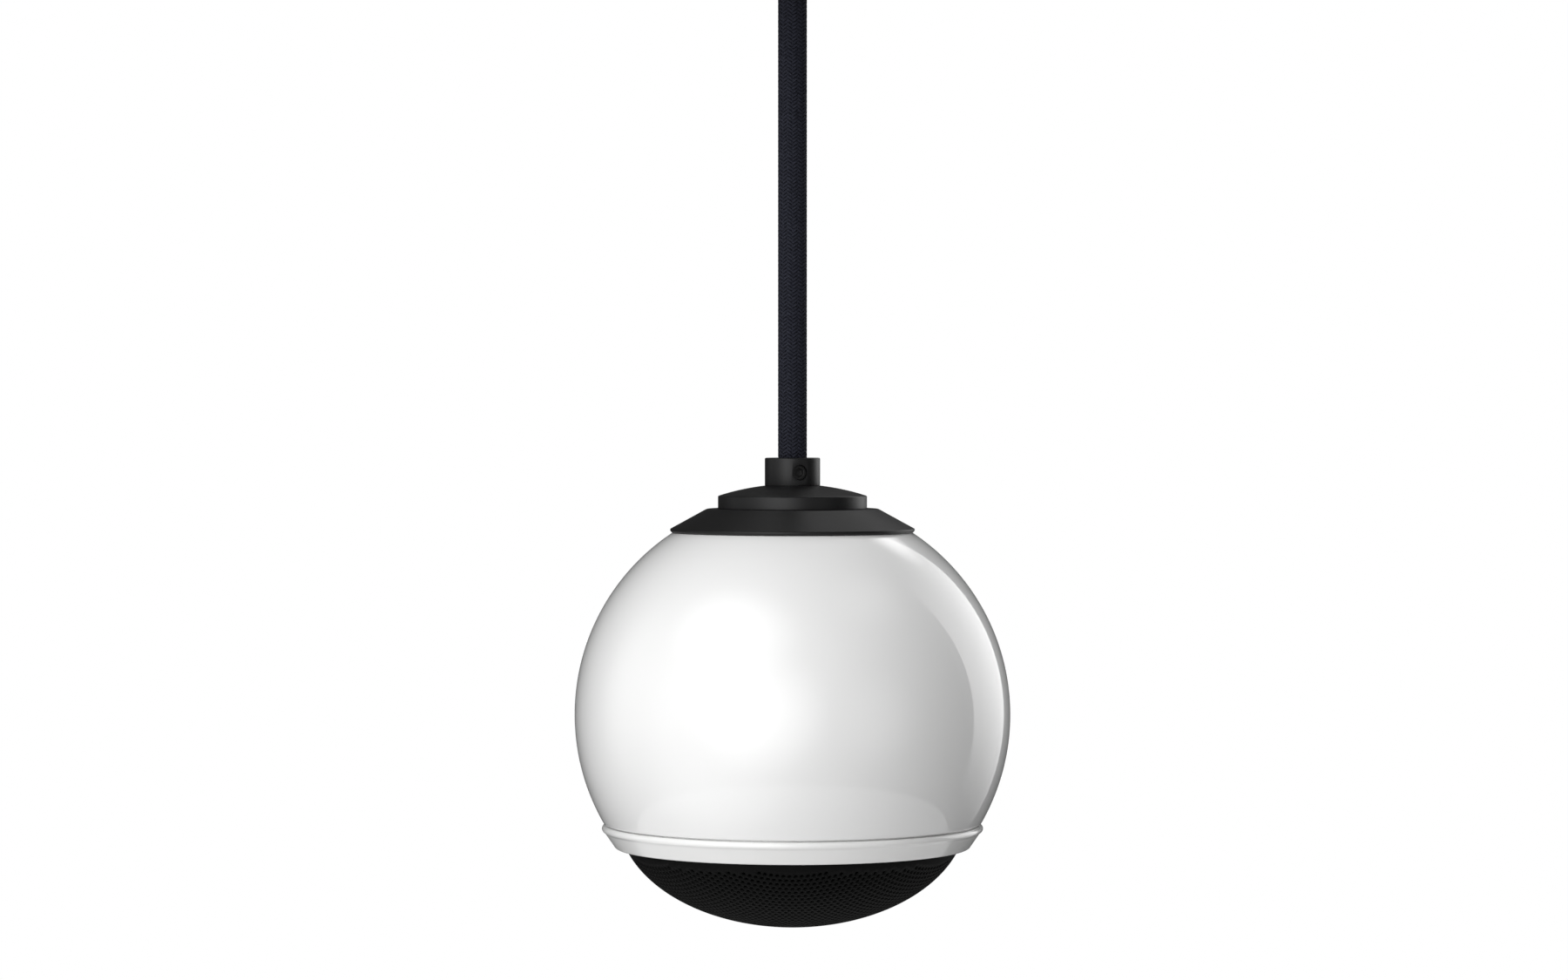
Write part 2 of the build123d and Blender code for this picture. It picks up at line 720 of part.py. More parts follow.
# Surround: a half roll between two flat lands, glued to the flange and to the cone's lip
with BuildPart() as surround:
    with BuildSketch(Plane.XZ):
        inner_land = cone_flat_radius
        with Locations((roll_centre, flange_front_z)):
            Circle(roll_radius)
            Circle(roll_radius - surround_sheet, mode=Mode.SUBTRACT)
            Rectangle(
                3 * roll_radius,
                2 * roll_radius,
                align=(Align.CENTER, Align.MIN),
                mode=Mode.SUBTRACT,
            )
        with Locations((surround_radius, flange_front_z)):
            Rectangle(
                surround_land + surround_sheet / 2,
                surround_sheet,
                align=(Align.MAX, Align.MAX),
            )
        with Locations((inner_land, flange_front_z)):
            Rectangle(
                roll_centre - roll_radius + surround_sheet / 2 - inner_land,
                surround_sheet,
                align=(Align.MIN, Align.MAX),
            )
    revolve(axis=Axis.Z)
surround.part.label = "surround"
export_step(surround.part, "parts/surround.step")

# Spider: a corrugated cloth disc that centres the coil
with BuildPart() as spider:
    with BuildSketch(Plane.XZ):
        inner_edge = former_outer_radius + glue_line
        outer_edge = neck_radius - basket_sheet - glue_line
        first_wave = inner_edge + ledge_width / 2
        last_wave = ledge_radius - ledge_width / 4
        steps = 8 * spider_waves
        crests = []
        for step in range(steps + 1):
            across = first_wave + (last_wave - first_wave) * step / steps
            lift = -spider_wave * sin(radians(360 * spider_waves * step / steps)) / 2
            crests.append((across, spider_z + lift))
        lower = [(inner_edge, spider_z)] + crests + [(outer_edge, spider_z)]
        upper = [(across, lift + spider_sheet) for across, lift in reversed(lower)]
        with BuildLine():
            Polyline(*lower, *upper, lower[0])
        make_face()
    revolve(axis=Axis.Z)
spider.part.label = "spider"
export_step(spider.part, "parts/spider.step")

# Terminal strip on the back of the basket, with two solder tags
with BuildPart() as terminal_strip:
    with Locations((0, strip_y, strip_z)):
        Box(
            strip_width,
            strip_thickness,
            strip_height,
            align=(Align.CENTER, Align.MIN, Align.MIN),
        )
terminal_strip.part.label = "terminal_strip"
export_step(terminal_strip.part, "parts/terminal_strip.step")

with BuildPart() as terminal_tags:
    with Locations((0, tag_y, tag_foot_z)):
        with GridLocations(tag_spacing, 1, 2, 1):
            Box(tag_width, tag_thickness, tag_height, align=(Align.CENTER, Align.MIN, Align.MIN))
terminal_tags.part.label = "terminal_tags"
export_step(terminal_tags.part, "parts/terminal_tags.step")


def wire(points, start, end, radius):
    """Round wire along a smooth route that leaves and arrives in the given directions."""
    with BuildPart() as run:
        with BuildLine():
            Spline(*points, tangents=(start, end))
        with BuildSketch(Plane(origin=points[0], z_dir=start)):
            Circle(radius)
        sweep()
    return run


def lead(side):
    """One conductor from the cord's lower end, round the magnet, to a solder tag."""
    clear = magnet_radius + 3 * core_radius
    points = [
        (side * core_spacing / 2, 0, cord_foot_z),
        (side * core_spacing * 0.7, 5, cord_foot_z - 7),
        (side * tag_spacing * 0.42, clear * 0.7, cord_foot_z - 16),
        (side * tag_spacing / 2, clear, back_plate_z + 1),
        (side * tag_spacing / 2, tag_y + tag_thickness / 2, tag_top_z),
    ]
    return wire(points, (0, 0, -1), (0, 0, -1), core_radius)


lead_positive = lead(1)
lead_positive.part.label = "lead_positive"
export_step(lead_positive.part, "parts/lead_positive.step")

lead_negative = lead(-1)
lead_negative.part.label = "lead_negative"
export_step(lead_negative.part, "parts/lead_negative.step")


def tinsel(side):
    """Bare braid from a tag through a window in the basket to the back of the cone."""
    landing = (cone_flat_radius + cone_neck_radius) / 2
    landing_z = cone_neck_z - (landing - cone_neck_radius) * cone_slope
    across = side * tag_spacing / 2
    points = [
        (across, tag_y + tag_thickness / 2, tag_foot_z),
        (across, (tag_y + landing) / 2, tag_foot_z - 2.2),
        (across, sqrt(landing**2 - across**2), landing_z + 2 * tinsel_radius),
    ]
    return wire(points, (0, 0, -1), (0, -1, -cone_slope / 2), tinsel_radius)


with BuildPart() as tinsel_leads:
    add(tinsel(1).part)
    add(tinsel(-1).part)
tinsel_leads.part.label = "tinsel_leads"
export_step(tinsel_leads.part, "parts/tinsel_leads.step")

# Ceiling rose: cup
with BuildPart() as rose_cup:
    with BuildSketch(Plane.XZ) as section:
        with BuildLine():
            Polyline(
                (rose_radius, 0),
                (rose_radius, -rose_depth),
                (spigot_hole_radius, -rose_depth),
                (spigot_hole_radius, cup_floor_z),
                (cup_inner_radius, cup_floor_z),
                (cup_inner_radius, 0),
                (rose_radius, 0),
            )
        make_face()
        fillet(corner(section, rose_radius, -rose_depth), radius=rose_corner)
        fillet(corner(section, cup_inner_radius, cup_floor_z), radius=rose_corner - rose_wall)
    revolve(axis=Axis.Z)
    with BuildSketch(Plane.YZ.offset(-rose_radius)):
        with Locations((0, -side_screw_drop)):
            Circle(side_screw_radius + screw_fit)
    extrude(amount=2 * rose_radius, mode=Mode.SUBTRACT)
rose_cup.part.label = "rose_cup"
export_step(rose_cup.part, "parts/rose_cup.step")

# Ceiling rose: bent strap that is screwed to the ceiling
with BuildPart() as rose_bracket:
    with BuildSketch(Plane.XZ):
        with BuildLine():
            Polyline(
                (-tab_x, 0),
                (tab_x, 0),
                (tab_x, -bracket_fall),
                (tab_x - bracket_sheet, -bracket_fall),
                (tab_x - bracket_sheet, -bracket_sheet),
                (bracket_sheet - tab_x, -bracket_sheet),
                (bracket_sheet - tab_x, -bracket_fall),
                (-tab_x, -bracket_fall),
                (-tab_x, 0),
            )
        make_face()
    extrude(amount=bracket_width / 2, both=True)
    with BuildSketch(Plane.XY.offset(-bracket_sheet)):
        with GridLocations(ceiling_hole_spacing, 1, 2, 1):
            Circle(ceiling_hole_radius)
        with Locations((block_inset + block_length / 2, 0)):
            Circle(block_screw_radius + thread_fit)
    extrude(amount=bracket_sheet, mode=Mode.SUBTRACT)
    with BuildSketch(Plane.YZ.offset(-tab_x)):
        with Locations((0, -side_screw_drop)):
            Circle(side_screw_radius + thread_fit)
    extrude(amount=2 * tab_x, mode=Mode.SUBTRACT)
rose_bracket.part.label = "rose_bracket"
export_step(rose_bracket.part, "parts/rose_bracket.step")

# Ceiling rose: two screws through the cup's side into the bracket's ends
with BuildPart() as rose_side_screws:
    for side in (-1, 1):
        plane = Plane(origin=(side * rose_radius, 0, -side_screw_drop), z_dir=(side, 0, 0))
        with BuildSketch(plane):
            Circle(side_screw_head)
        extrude(amount=side_screw_head_height)
        with BuildSketch(plane):
            Circle(side_screw_radius)
        extrude(amount=-(rose_radius - tab_x + 2 * bracket_sheet))
        with BuildSketch(plane.offset(side_screw_head_height)):
            Rectangle(2 * side_screw_head, slot_width)
        extrude(amount=-recess_depth, mode=Mode.SUBTRACT)
rose_side_screws.part.label = "rose_side_screws"
export_step(rose_side_screws.part, "parts/rose_side_screws.step")

# Ceiling rose: the same grip, nut and ferrule, upside down
rose_grip = cord_grip(-rose_depth, -1, rose_depth + rose_spigot_top_z)
rose_grip.part.label = "rose_grip"
export_step(rose_grip.part, "parts/rose_grip.step")

rose_grub_screw = grub_screw(-rose_depth - grub_rise)
rose_grub_screw.part.label = "rose_grub_screw"
export_step(rose_grub_screw.part, "parts/rose_grub_screw.step")

rose_nut = grip_nut(cup_floor_z)
rose_nut.part.label = "rose_nut"
export_step(rose_nut.part, "parts/rose_nut.step")

upper_ferrule = ferrule(rose_spigot_top_z)
upper_ferrule.part.label = "upper_ferrule"
export_step(upper_ferrule.part, "parts/upper_ferrule.step")

# Terminal block: two poles, each with a wire bore and two clamp screws
clamp_pitch = block_length / 2
with BuildPart() as terminal_block:
    with Locations((block_inset + block_length / 2, 0, block_top_z)):
        Box(block_length, block_width, block_height, align=(Align.CENTER, Align.CENTER, Align.MAX))
    with BuildSketch(Plane.YZ.offset(block_inset)):
        with Locations((0, block_bore_z)):
            with GridLocations(pole_pitch, 1, 2, 1):
                Circle(block_bore_radius)
    extrude(amount=block_length, mode=Mode.SUBTRACT)
    with BuildSketch(Plane.XY.offset(block_foot_z)):
        with Locations((block_inset + block_length / 2, 0)):
            with GridLocations(clamp_pitch, pole_pitch, 2, 2):
                Circle(clamp_screw_radius + thread_fit)
    extrude(amount=block_height / 2, mode=Mode.SUBTRACT)
    with BuildSketch(Plane.XY.offset(block_foot_z)):
        with Locations((block_inset + block_length / 2, 0)):
            Circle(block_screw_radius + screw_fit)
    extrude(amount=block_height, mode=Mode.SUBTRACT)
    with BuildSketch(Plane.XY.offset(block_foot_z)):
        with Locations((block_inset + block_length / 2, 0)):
            Circle(block_screw_head + screw_fit)
    extrude(amount=block_screw_head_height, mode=Mode.SUBTRACT)
terminal_block.part.label = "terminal_block"
export_step(terminal_block.part, "parts/terminal_block.step")

with BuildPart() as clamp_screws:
    screw_top_z = block_bore_z - core_radius - glue_line
    screw_foot_z = block_foot_z + clamp_screw_recess
    with BuildSketch(Plane.XY.offset(screw_foot_z)):
        with Locations((block_inset + block_length / 2, 0)):
            with GridLocations(clamp_pitch, pole_pitch, 2, 2):
                Circle(clamp_screw_radius)
    extrude(amount=screw_top_z - screw_foot_z)
    with BuildSketch(Plane.XY.offset(screw_foot_z)):
        with Locations((block_inset + block_length / 2, 0)):
            with GridLocations(clamp_pitch, pole_pitch, 2, 2):
                Rectangle(2 * clamp_screw_radius, slot_width)
    extrude(amount=recess_depth, mode=Mode.SUBTRACT)
clamp_screws.part.label = "clamp_screws"
export_step(clamp_screws.part, "parts/clamp_screws.step")

with BuildPart() as block_screw:
    with Locations((block_inset + block_length / 2, 0, block_foot_z)):
        Cylinder(
            block_screw_head,
            block_screw_head_height,
            align=(Align.CENTER, Align.CENTER, Align.MIN),
        )
        Cylinder(
            block_screw_radius,
            block_height + bracket_sheet,
            align=(Align.CENTER, Align.CENTER, Align.MIN),
        )
    with BuildSketch(Plane.XY.offset(block_foot_z)):
        with Locations((block_inset + block_length / 2, 0)):
            Rectangle(2 * block_screw_head, slot_width)
    extrude(amount=recess_depth, mode=Mode.SUBTRACT)
block_screw.part.label = "block_screw"
export_step(block_screw.part, "parts/block_screw.step")


def tail(side):
    """One conductor from the cord's upper end into the terminal block."""
    points = [
        (0, side * core_spacing / 2, cord_top_z),
        (block_inset * 0.25, side * pole_pitch * 0.35, (cord_top_z + block_bore_z) / 2 + 2),
        (block_inset + tail_entry, side * pole_pitch / 2, block_bore_z),
    ]
    return wire(points, (0, 0, 1), (1, 0, 0), core_radius)


tail_positive = tail(1)
tail_positive.part.label = "tail_positive"
export_step(tail_positive.part, "parts/tail_positive.step")

tail_negative = tail(-1)
tail_negative.part.label = "tail_negative"
export_step(tail_negative.part, "parts/tail_negative.step")
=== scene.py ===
# %% [markdown]
# # A pendant speaker
# The speaker is a white lacquered ball that hangs on a braided cord. A black cap of three
# pieces closes the top of the ball, and a black perforated dome covers the driver below.
# The solids of the CAD model come in first. They are right in size, but plain, so each
# piece that shows is made again here with finer curves, real perforations, a real braid and
# a finish with the detail of the real one.

import json
from math import atan2, ceil, cos, pi, radians, sin, sqrt, tanh

import bmesh
import bpy
from mathutils import Matrix, Vector
from mathutils.kdtree import KDTree


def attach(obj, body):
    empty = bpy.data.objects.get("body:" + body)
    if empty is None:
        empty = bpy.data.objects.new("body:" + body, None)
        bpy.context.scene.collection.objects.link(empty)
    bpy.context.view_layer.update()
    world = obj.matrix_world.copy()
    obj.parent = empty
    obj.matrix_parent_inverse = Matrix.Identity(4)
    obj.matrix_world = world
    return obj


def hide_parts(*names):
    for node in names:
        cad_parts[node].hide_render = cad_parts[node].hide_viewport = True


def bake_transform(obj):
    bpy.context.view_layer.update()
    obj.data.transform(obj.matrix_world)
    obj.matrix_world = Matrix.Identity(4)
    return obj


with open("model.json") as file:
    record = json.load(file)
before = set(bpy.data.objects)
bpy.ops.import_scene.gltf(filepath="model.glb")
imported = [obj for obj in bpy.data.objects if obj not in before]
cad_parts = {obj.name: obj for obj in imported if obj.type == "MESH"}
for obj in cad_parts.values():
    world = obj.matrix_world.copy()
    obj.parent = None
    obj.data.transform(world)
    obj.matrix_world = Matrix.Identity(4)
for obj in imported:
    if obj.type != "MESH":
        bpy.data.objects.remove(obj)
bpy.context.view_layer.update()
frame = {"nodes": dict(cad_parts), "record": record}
MM = 0.001

# %% [markdown]
# ## Camera
# The picture was taken from the front, a metre away, a little above the middle of the ball,
# with a lens that sees only 20 degrees. A long lens keeps the ball round and shows just a
# little of the cap's upper faces. The camera comes first, because every choice after it is
# judged in its picture.

# %% Set up the camera
ball_centre = Vector((0, 0, -204 * MM))
camera = bpy.data.objects.new("camera", bpy.data.cameras.new("camera"))
bpy.context.collection.objects.link(camera)
camera.location = (-1.98 * MM, -1.038, -131.6 * MM)
camera.rotation_euler = (radians(90 - 1.097), 0, 0)
camera.data.lens = 101.8
camera.data.sensor_width = 36
bpy.context.scene.camera = camera
bpy.context.scene.view_settings.view_transform = "Standard"
print("camera to ball", round((camera.location - ball_centre).length, 3), "m")

# %% [markdown]
# ## Writing shader maths
# A finish is a small sum: a colour, plus some noise, times a strength. Nodes say that with
# boxes and wires, which are slow to read. This class wraps one output socket of a node, so
# that `1 - mask * 0.3` adds the Math nodes by itself. Every other kind of node comes from
# its one method `node`, and a few short methods name the patterns that come back often.
# Sizes of patterns are given in millimetres and heights in micrometres, as on a drawing.


# %% Wrap a node's socket
class Tone:
    """One output of a node in a material. Arithmetic on it adds Math nodes."""

    def __init__(self, tree, socket=None):
        self.tree = tree
        self.socket = socket

    def node(self, kind, settings=(), values=(), result=0):
        """Adds a node: its settings are set first, then the values or links of its sockets."""
        made = self.tree.nodes.new("ShaderNode" + kind)
        for setting, value in dict(settings).items():
            if setting == "stops":
                ramp = made.color_ramp.elements
                while len(ramp) < len(value):
                    ramp.new(1)
                for stop, (place, level) in zip(ramp, value):
                    stop.position = place
                    stop.color = (level, level, level, 1)
            else:
                setattr(made, setting, value)
        for name, value in dict(values).items():
            if isinstance(value, Tone):
                self.tree.links.new(value.socket, made.inputs[name])
            else:
                made.inputs[name].default_value = value
        return Tone(self.tree, made.outputs[result] if made.outputs else None)

    def maths(self, operation, *values):
        return self.node("Math", {"operation": operation}, dict(enumerate(values)))

    def __add__(self, other):
        return self.maths("ADD", self, other)

    def __radd__(self, other):
        return self.maths("ADD", other, self)

    def __sub__(self, other):
        return self.maths("SUBTRACT", self, other)

    def __rsub__(self, other):
        return self.maths("SUBTRACT", other, self)

    def __mul__(self, other):
        return self.maths("MULTIPLY", self, other)

    def __rmul__(self, other):
        return self.maths("MULTIPLY", other, self)

    def wave(self):
        """A sine wave from 0 to 1, with one crest where this tone grows by 1."""
        return self.maths("SINE", self * (2 * pi)) * 0.5 + 0.5

    def ramp(self, low, high):
        """0 below low, 1 above high."""
        return self.node("ValToRGB", {"stops": [(low, 0), (high, 1)]}, {0: self})


# %% [markdown]
# ## A finish
# Each finish is one Principled surface. What is the same all over, such as how strong its
# clear coat is, is set on its sockets as a number. What varies over the surface is a colour,
# a roughness and a height for the bump. Patterns read Object coordinates, so they keep their
# scale in millimetres on every piece and don't slide when a piece moves.


# %% Start a finish
class Finish(Tone):
    """A material that is being made."""

    def __init__(self, name):
        self.material = bpy.data.materials.new(name)
        self.material.use_nodes = True
        self.material.node_tree.nodes.clear()
        super().__init__(self.material.node_tree)

    def place(self, stretch=(1, 1, 1)):
        """Object coordinates, stretched along the axes."""
        spot = self.node("TexCoord", result="Object")
        if stretch == (1, 1, 1):
            return spot
        return self.node("Mapping", {"vector_type": "POINT"}, {"Vector": spot, "Scale": stretch})

    def noise(self, size, detail=2.0, stretch=(1, 1, 1)):
        """Soft random tones from 0 to 1 whose patches are about size millimetres."""
        return self.node(
            "TexNoise",
            values={"Vector": self.place(stretch), "Scale": 1 / (size * MM), "Detail": detail},
        )

    def cells(self, size):
        """Distance to the nearest of many scattered points, size millimetres apart."""
        return self.node(
            "TexVoronoi",
            {"feature": "F1"},
            {"Vector": self.place(), "Scale": 1 / (size * MM)},
            "Distance",
        )

    def axes(self):
        """The x, y and z of a point, in millimetres."""
        split = self.node("SeparateXYZ", values={0: self.place()})
        outputs = split.socket.node.outputs
        return [Tone(self.tree, out) * (1 / MM) for out in outputs]

    def between(self, factor, dark, light):
        """A colour between two, mixed by a tone."""
        values = {0: factor, 6: (*dark, 1), 7: (*light, 1)}
        return self.node("Mix", {"data_type": "RGBA"}, values, 2)

    def surface(self, color, roughness, height, microns, **constants):
        """Ends the finish: height from 0 to 1 stands for so many micrometres."""
        bump = {"Height": height, "Distance": microns * MM * MM, "Strength": 1.0}
        values = {"Base Color": color, "Roughness": roughness}
        values["Normal"] = self.node("Bump", values=bump)
        for name, value in constants.items():
            values[name.replace("_", " ").title().replace("Ior", "IOR")] = value
        shader = self.node("BsdfPrincipled", values=values)
        self.node("OutputMaterial", values={"Surface": shader})
        print("finish", self.material.name, "with", len(self.tree.nodes), "nodes")
        return self.material


# %% [markdown]
# ## Cord
# The cord is a textile braid over two insulated conductors, 6.7 mm thick. It is taut,
# because it carries the ball, so its route is a straight line from its ferrule inside the
# ball up to its ferrule inside the ceiling rose. The route is still made as a curve, and the
# strands follow the points that are read back from it.
#
# A braid could be painted as a bump, but its edge against the white background would then be
# smooth, and this edge is plainly bumpy in the picture. So the strands are modelled: 32 of
# them, 16 that wind to the left and 16 to the right, each over two and under two of the
# others. In this braid the places where a strand is on top lie in columns along the cord,
# which gives upright ribs of small slanted floats. So how far out a strand lies depends only
# on how far round the cord it is.

# %% Read the cord's route
cord_stations = [-172.34, -168, -158, -144, -128, -112, -96, -80, -64, -48, -34, -24, -17, -14.3]
route = bpy.data.curves.new("cord_route", "CURVE")
route.dimensions = "3D"
spline = route.splines.new("NURBS")
spline.points.add(len(cord_stations) - 1)
for point, height in zip(spline.points, cord_stations):
    point.co = (0, 0, height * MM, 1)
spline.order_u = 3
spline.use_endpoint_u = True
route_holder = bpy.data.objects.new("cord_route", route)
cord_line = [v.co.copy() for v in bpy.data.meshes.new_from_object(route_holder).vertices]
bpy.data.objects.remove(route_holder)
cord_length = sum((b - a).length for a, b in zip(cord_line, cord_line[1:]))
print("cord", round(cord_length / MM, 2), "mm long, read at", len(cord_line), "points")


# %% Find a place along the cord
def along_cord(distance):
    """The point of the cord's line that is this far from its lower end."""
    for a, b in zip(cord_line, cord_line[1:]):
        run = (b - a).length
        if distance <= run:
            return a.lerp(b, distance / run)
        distance -= run
    return cord_line[-1].copy()


# %% Braid one strand
turn_length = 14.0 * MM
column_pairs = 8
strand_radius = 3.09 * MM
strand_wave = 0.17 * MM
strand_half_width = 0.37 * MM
strand_half_thickness = 0.18 * MM
strand_sides = 6
sections_per_turn = 44


def strand_centre(distance, lean, start):
    """Centre of a strand at this distance along the cord, and the way out from the cord."""
    turn = radians(start) + lean * 2 * pi * distance / turn_length
    lift = tanh(2 * cos(column_pairs * turn - pi / 2)) / tanh(2)
    out = Vector((cos(turn), sin(turn), 0))
    return along_cord(distance) + out * (strand_radius + lean * strand_wave * lift), out


def strand_section(distance, lean, start):
    """Matrix that puts a unit circle across the strand, flattened against the cord."""
    centre, out = strand_centre(distance, lean, start)
    ahead = strand_centre(distance + 0.05 * MM, lean, start)[0] - centre
    back = strand_centre(distance - 0.05 * MM, lean, start)[0] - centre
    forward = (ahead - back).normalized()
    side = forward.cross(out).normalized()
    flat = forward.cross(side) * strand_half_thickness
    section = Matrix((flat, side * strand_half_width, forward)).transposed().to_4x4()
    return Matrix.Translation(centre) @ section


def draw_along(mesh, places):
    """Gives a strand its UV map: u goes once round it, v is the distance along it in mm."""
    mesh.verts.index_update()
    layer = mesh.loops.layers.uv.new("along")
    step = cord_length / MM / (len(places) - 1)
    for face in mesh.faces:
        drawn = []
        for loop in face.loops:
            k = loop.vert.index // strand_sides
            across = places[k].inverted() @ loop.vert.co
            drawn.append([atan2(across.y, across.x) / (2 * pi) + 0.5, k * step])
        if max(u for u, _ in drawn) - min(u for u, _ in drawn) > 0.5:
            drawn = [[u + 1 if u < 0.5 else u, v] for u, v in drawn]
        for loop, uv in zip(face.loops, drawn):
            loop[layer].uv = uv


def braid_strand(lean, start):
    """One strand from end to end, with a UV map: u round the strand, v along it in mm."""
    steps = ceil(cord_length / turn_length * sections_per_turn)
    places = [strand_section(cord_length * k / steps, lean, start) for k in range(steps + 1)]
    mesh = bmesh.new()
    bmesh.ops.create_circle(mesh, segments=strand_sides, radius=1, matrix=places[0])
    edges = mesh.edges[:]
    for here, there in zip(places, places[1:]):
        made = bmesh.ops.extrude_edge_only(mesh, edges=edges)["geom"]
        verts = [v for v in made if isinstance(v, bmesh.types.BMVert)]
        edges = [e for e in made if isinstance(e, bmesh.types.BMEdge) and e.is_boundary]
        bmesh.ops.transform(mesh, matrix=there @ here.inverted(), verts=verts)
    draw_along(mesh, places)
    bmesh.ops.holes_fill(mesh, edges=[e for e in mesh.edges if e.is_boundary], sides=0)
    bmesh.ops.recalc_face_normals(mesh, faces=mesh.faces)
    return mesh


first_strands = (90 / column_pairs / 2, 90 / column_pairs * 2.5)
strands = [braid_strand(lean, start) for lean in (1, -1) for start in first_strands]
print(len(strands), "strands of", len(strands[0].faces), "faces each")

# %% [markdown]
# Each pair of columns repeats eight times round the cord, so four strands are enough: each
# is copied eight times, an eighth of a turn apart. A plain dark core inside keeps light from
# passing between them.
#
# The yarn is dyed a very dark blue-black. Each strand is a flat bundle of parallel yarns,
# which the UV map draws as fine lines along it. Its colour is painted lightest on the face that
# looks out from the cord and nearly black towards its sides and in the gaps: painted light and
# painted shade. A little sheen stands for the fluff that catches light at the edges.


# %% Dye the braid, with painted light and shade on each strand
def make_braid_finish():
    yarn = Finish("braid")
    lines = yarn.node("UVMap", {"uv_map": "along"})
    split = yarn.node("SeparateXYZ", values={0: lines})
    across, along = [Tone(yarn.tree, out) for out in split.socket.node.outputs][:2]
    yarns = (across * 8 + along * 0.35).wave()
    # Painted light and shade: 1 on the strand's outer face, falling to 0 at its sides and
    # underside.
    painted_crest_light = (across + 0.25).wave()
    patchy = yarn.noise(0.9, 1) + 0.5
    fluff = yarn.noise(0.25, 3)
    fade = yarn.noise(7)
    dark = yarn.between(fade, (0.0016, 0.0016, 0.0034), (0.003, 0.0029, 0.0058))
    light = yarn.between(fluff, (0.019, 0.02, 0.03), (0.045, 0.048, 0.064))
    # The colour mixes the yarn lines and random patches with the painted light and shade of each
    # strand.
    yarns_and_painted_shade = painted_crest_light * painted_crest_light * painted_crest_light * (yarns * 0.6 + 0.3) * patchy
    color = yarn.node("Mix", {"data_type": "RGBA"}, {0: yarns_and_painted_shade, 6: dark, 7: light}, 2)
    return yarn.surface(
        color,
        0.72 + fluff * 0.2,
        yarns * 0.6 + fluff * 0.4,
        45,
        sheen_weight=0.02,
        sheen_roughness=0.4,
        specular_ior_level=0.07,
    )


finishes = {"braid": make_braid_finish()}

# %% [markdown]
# ## Handing a mesh over
# Every new piece ends the same way: its doubled points are merged, its faces are turned to
# point outwards, it is shaded smooth except at real edges, and it rides on a body of the
# CAD model in place of the solids that it stands for. Turned pieces also get their shading
# weighted by face area, so that a flat face stays flat right up to its rounded edge.


# %% Finish a piece
def hand_over(mesh, name, body, slot, stands_for=(), even=False, merged=1e-3):
    """Makes the object of a bmesh, in place, with its finish and the solids it replaces.

    A piece that bends between two bodies rides on neither, so its body is None.
    """
    bmesh.ops.remove_doubles(mesh, verts=mesh.verts, dist=merged * MM)
    bmesh.ops.recalc_face_normals(mesh, faces=mesh.faces)
    data = bpy.data.meshes.new(name)
    mesh.to_mesh(data)
    mesh.free()
    data.shade_smooth()
    data.set_sharp_from_angle(angle=radians(38))
    data.materials.append(finishes[slot])
    made = bpy.data.objects.new(name, data)
    bpy.context.collection.objects.link(made)
    if even:
        weighted = made.modifiers.new("even shading", "WEIGHTED_NORMAL")
        weighted.keep_sharp = True
    if body:
        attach(made, body)
    if stands_for:
        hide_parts(*stands_for)
    triangles = sum(len(face.vertices) - 2 for face in data.polygons)
    print(name, "has", triangles, "triangles")
    return made


# %% Assemble the cord
core_radius = 2.8 * MM
braid = bmesh.new()
for strand in strands:
    one = bpy.data.meshes.new("strand")
    strand.to_mesh(one)
    strand.free()
    for pair in range(column_pairs):
        copy = one.copy()
        copy.transform(Matrix.Rotation(2 * pi * pair / column_pairs, 4, "Z"))
        braid.from_mesh(copy)
core_middle = Matrix.Translation((cord_line[0] + cord_line[-1]) / 2)
bmesh.ops.create_cone(
    braid,
    cap_ends=True,
    segments=32,
    radius1=core_radius,
    radius2=core_radius,
    depth=cord_length,
    matrix=core_middle,
)
cord = hand_over(braid, "cord_braid", "pendant", "braid", ["cord"], merged=1e-4)

# %% [markdown]
# ## Turning a piece on a lathe
# The ball, its trim and its cap are all round, so each is drawn as an outline on one side of
# the axis, in millimetres, and spun. An arc of the outline comes from spinning one vertex.
# A corner is rounded by a bevel of its vertex, because a real edge is never sharp: even a
# tenth of a millimetre catches a thin line of light, and that line is what tells the eye
# that a piece is solid.


# %% Draw an arc
def arc(start, centre, degrees, steps):
    """Points of an arc from start about centre, upwards for positive degrees."""
    mesh = bmesh.new()
    vert = mesh.verts.new((start[0], 0, start[1]))
    bmesh.ops.spin(
        mesh,
        geom=[vert],
        cent=(centre[0], 0, centre[1]),
        axis=(0, -1, 0),
        angle=radians(degrees),
        steps=steps,
    )
    points = [(v.co.x, v.co.z) for v in mesh.verts]
    mesh.free()
    return points


# %% Turn an outline
def turned(points, rounds=(), steps=192):
    """Spins a closed outline about the axis. rounds are (set-back, segments, corners)."""
    mesh = bmesh.new()
    verts = [mesh.verts.new((r * MM, 0, z * MM)) for r, z in points]
    mesh.faces.new(verts)
    for set_back, segments, corners in rounds:
        bmesh.ops.bevel(
            mesh,
            geom=[verts[k] for k in corners],
            offset=set_back * MM,
            offset_type="OFFSET",
            segments=segments,
            profile=0.5,
            affect="VERTICES",
            material=-1,
        )
    bmesh.ops.delete(mesh, geom=mesh.faces[:], context="FACES_ONLY")
    bmesh.ops.spin(
        mesh,
        geom=mesh.verts[:] + mesh.edges[:],
        cent=(0, 0, 0),
        axis=(0, 0, 1),
        angle=2 * pi,
        steps=steps,
        use_merge=True,
    )
    return mesh


# %% [markdown]
# ## Ball
# The shell is spun from sheet steel and lacquered white, with a clear coat on top. Paint
# that is sprayed on metal dries with a very fine ripple, called orange peel, which shows
# only as a slight wobble in sharp reflections. So the ripple is a bump of under two
# micrometres.
# The outline runs up the outside, over the edge of the top hole, down the inside and along
# the lip that is turned in at the mouth.


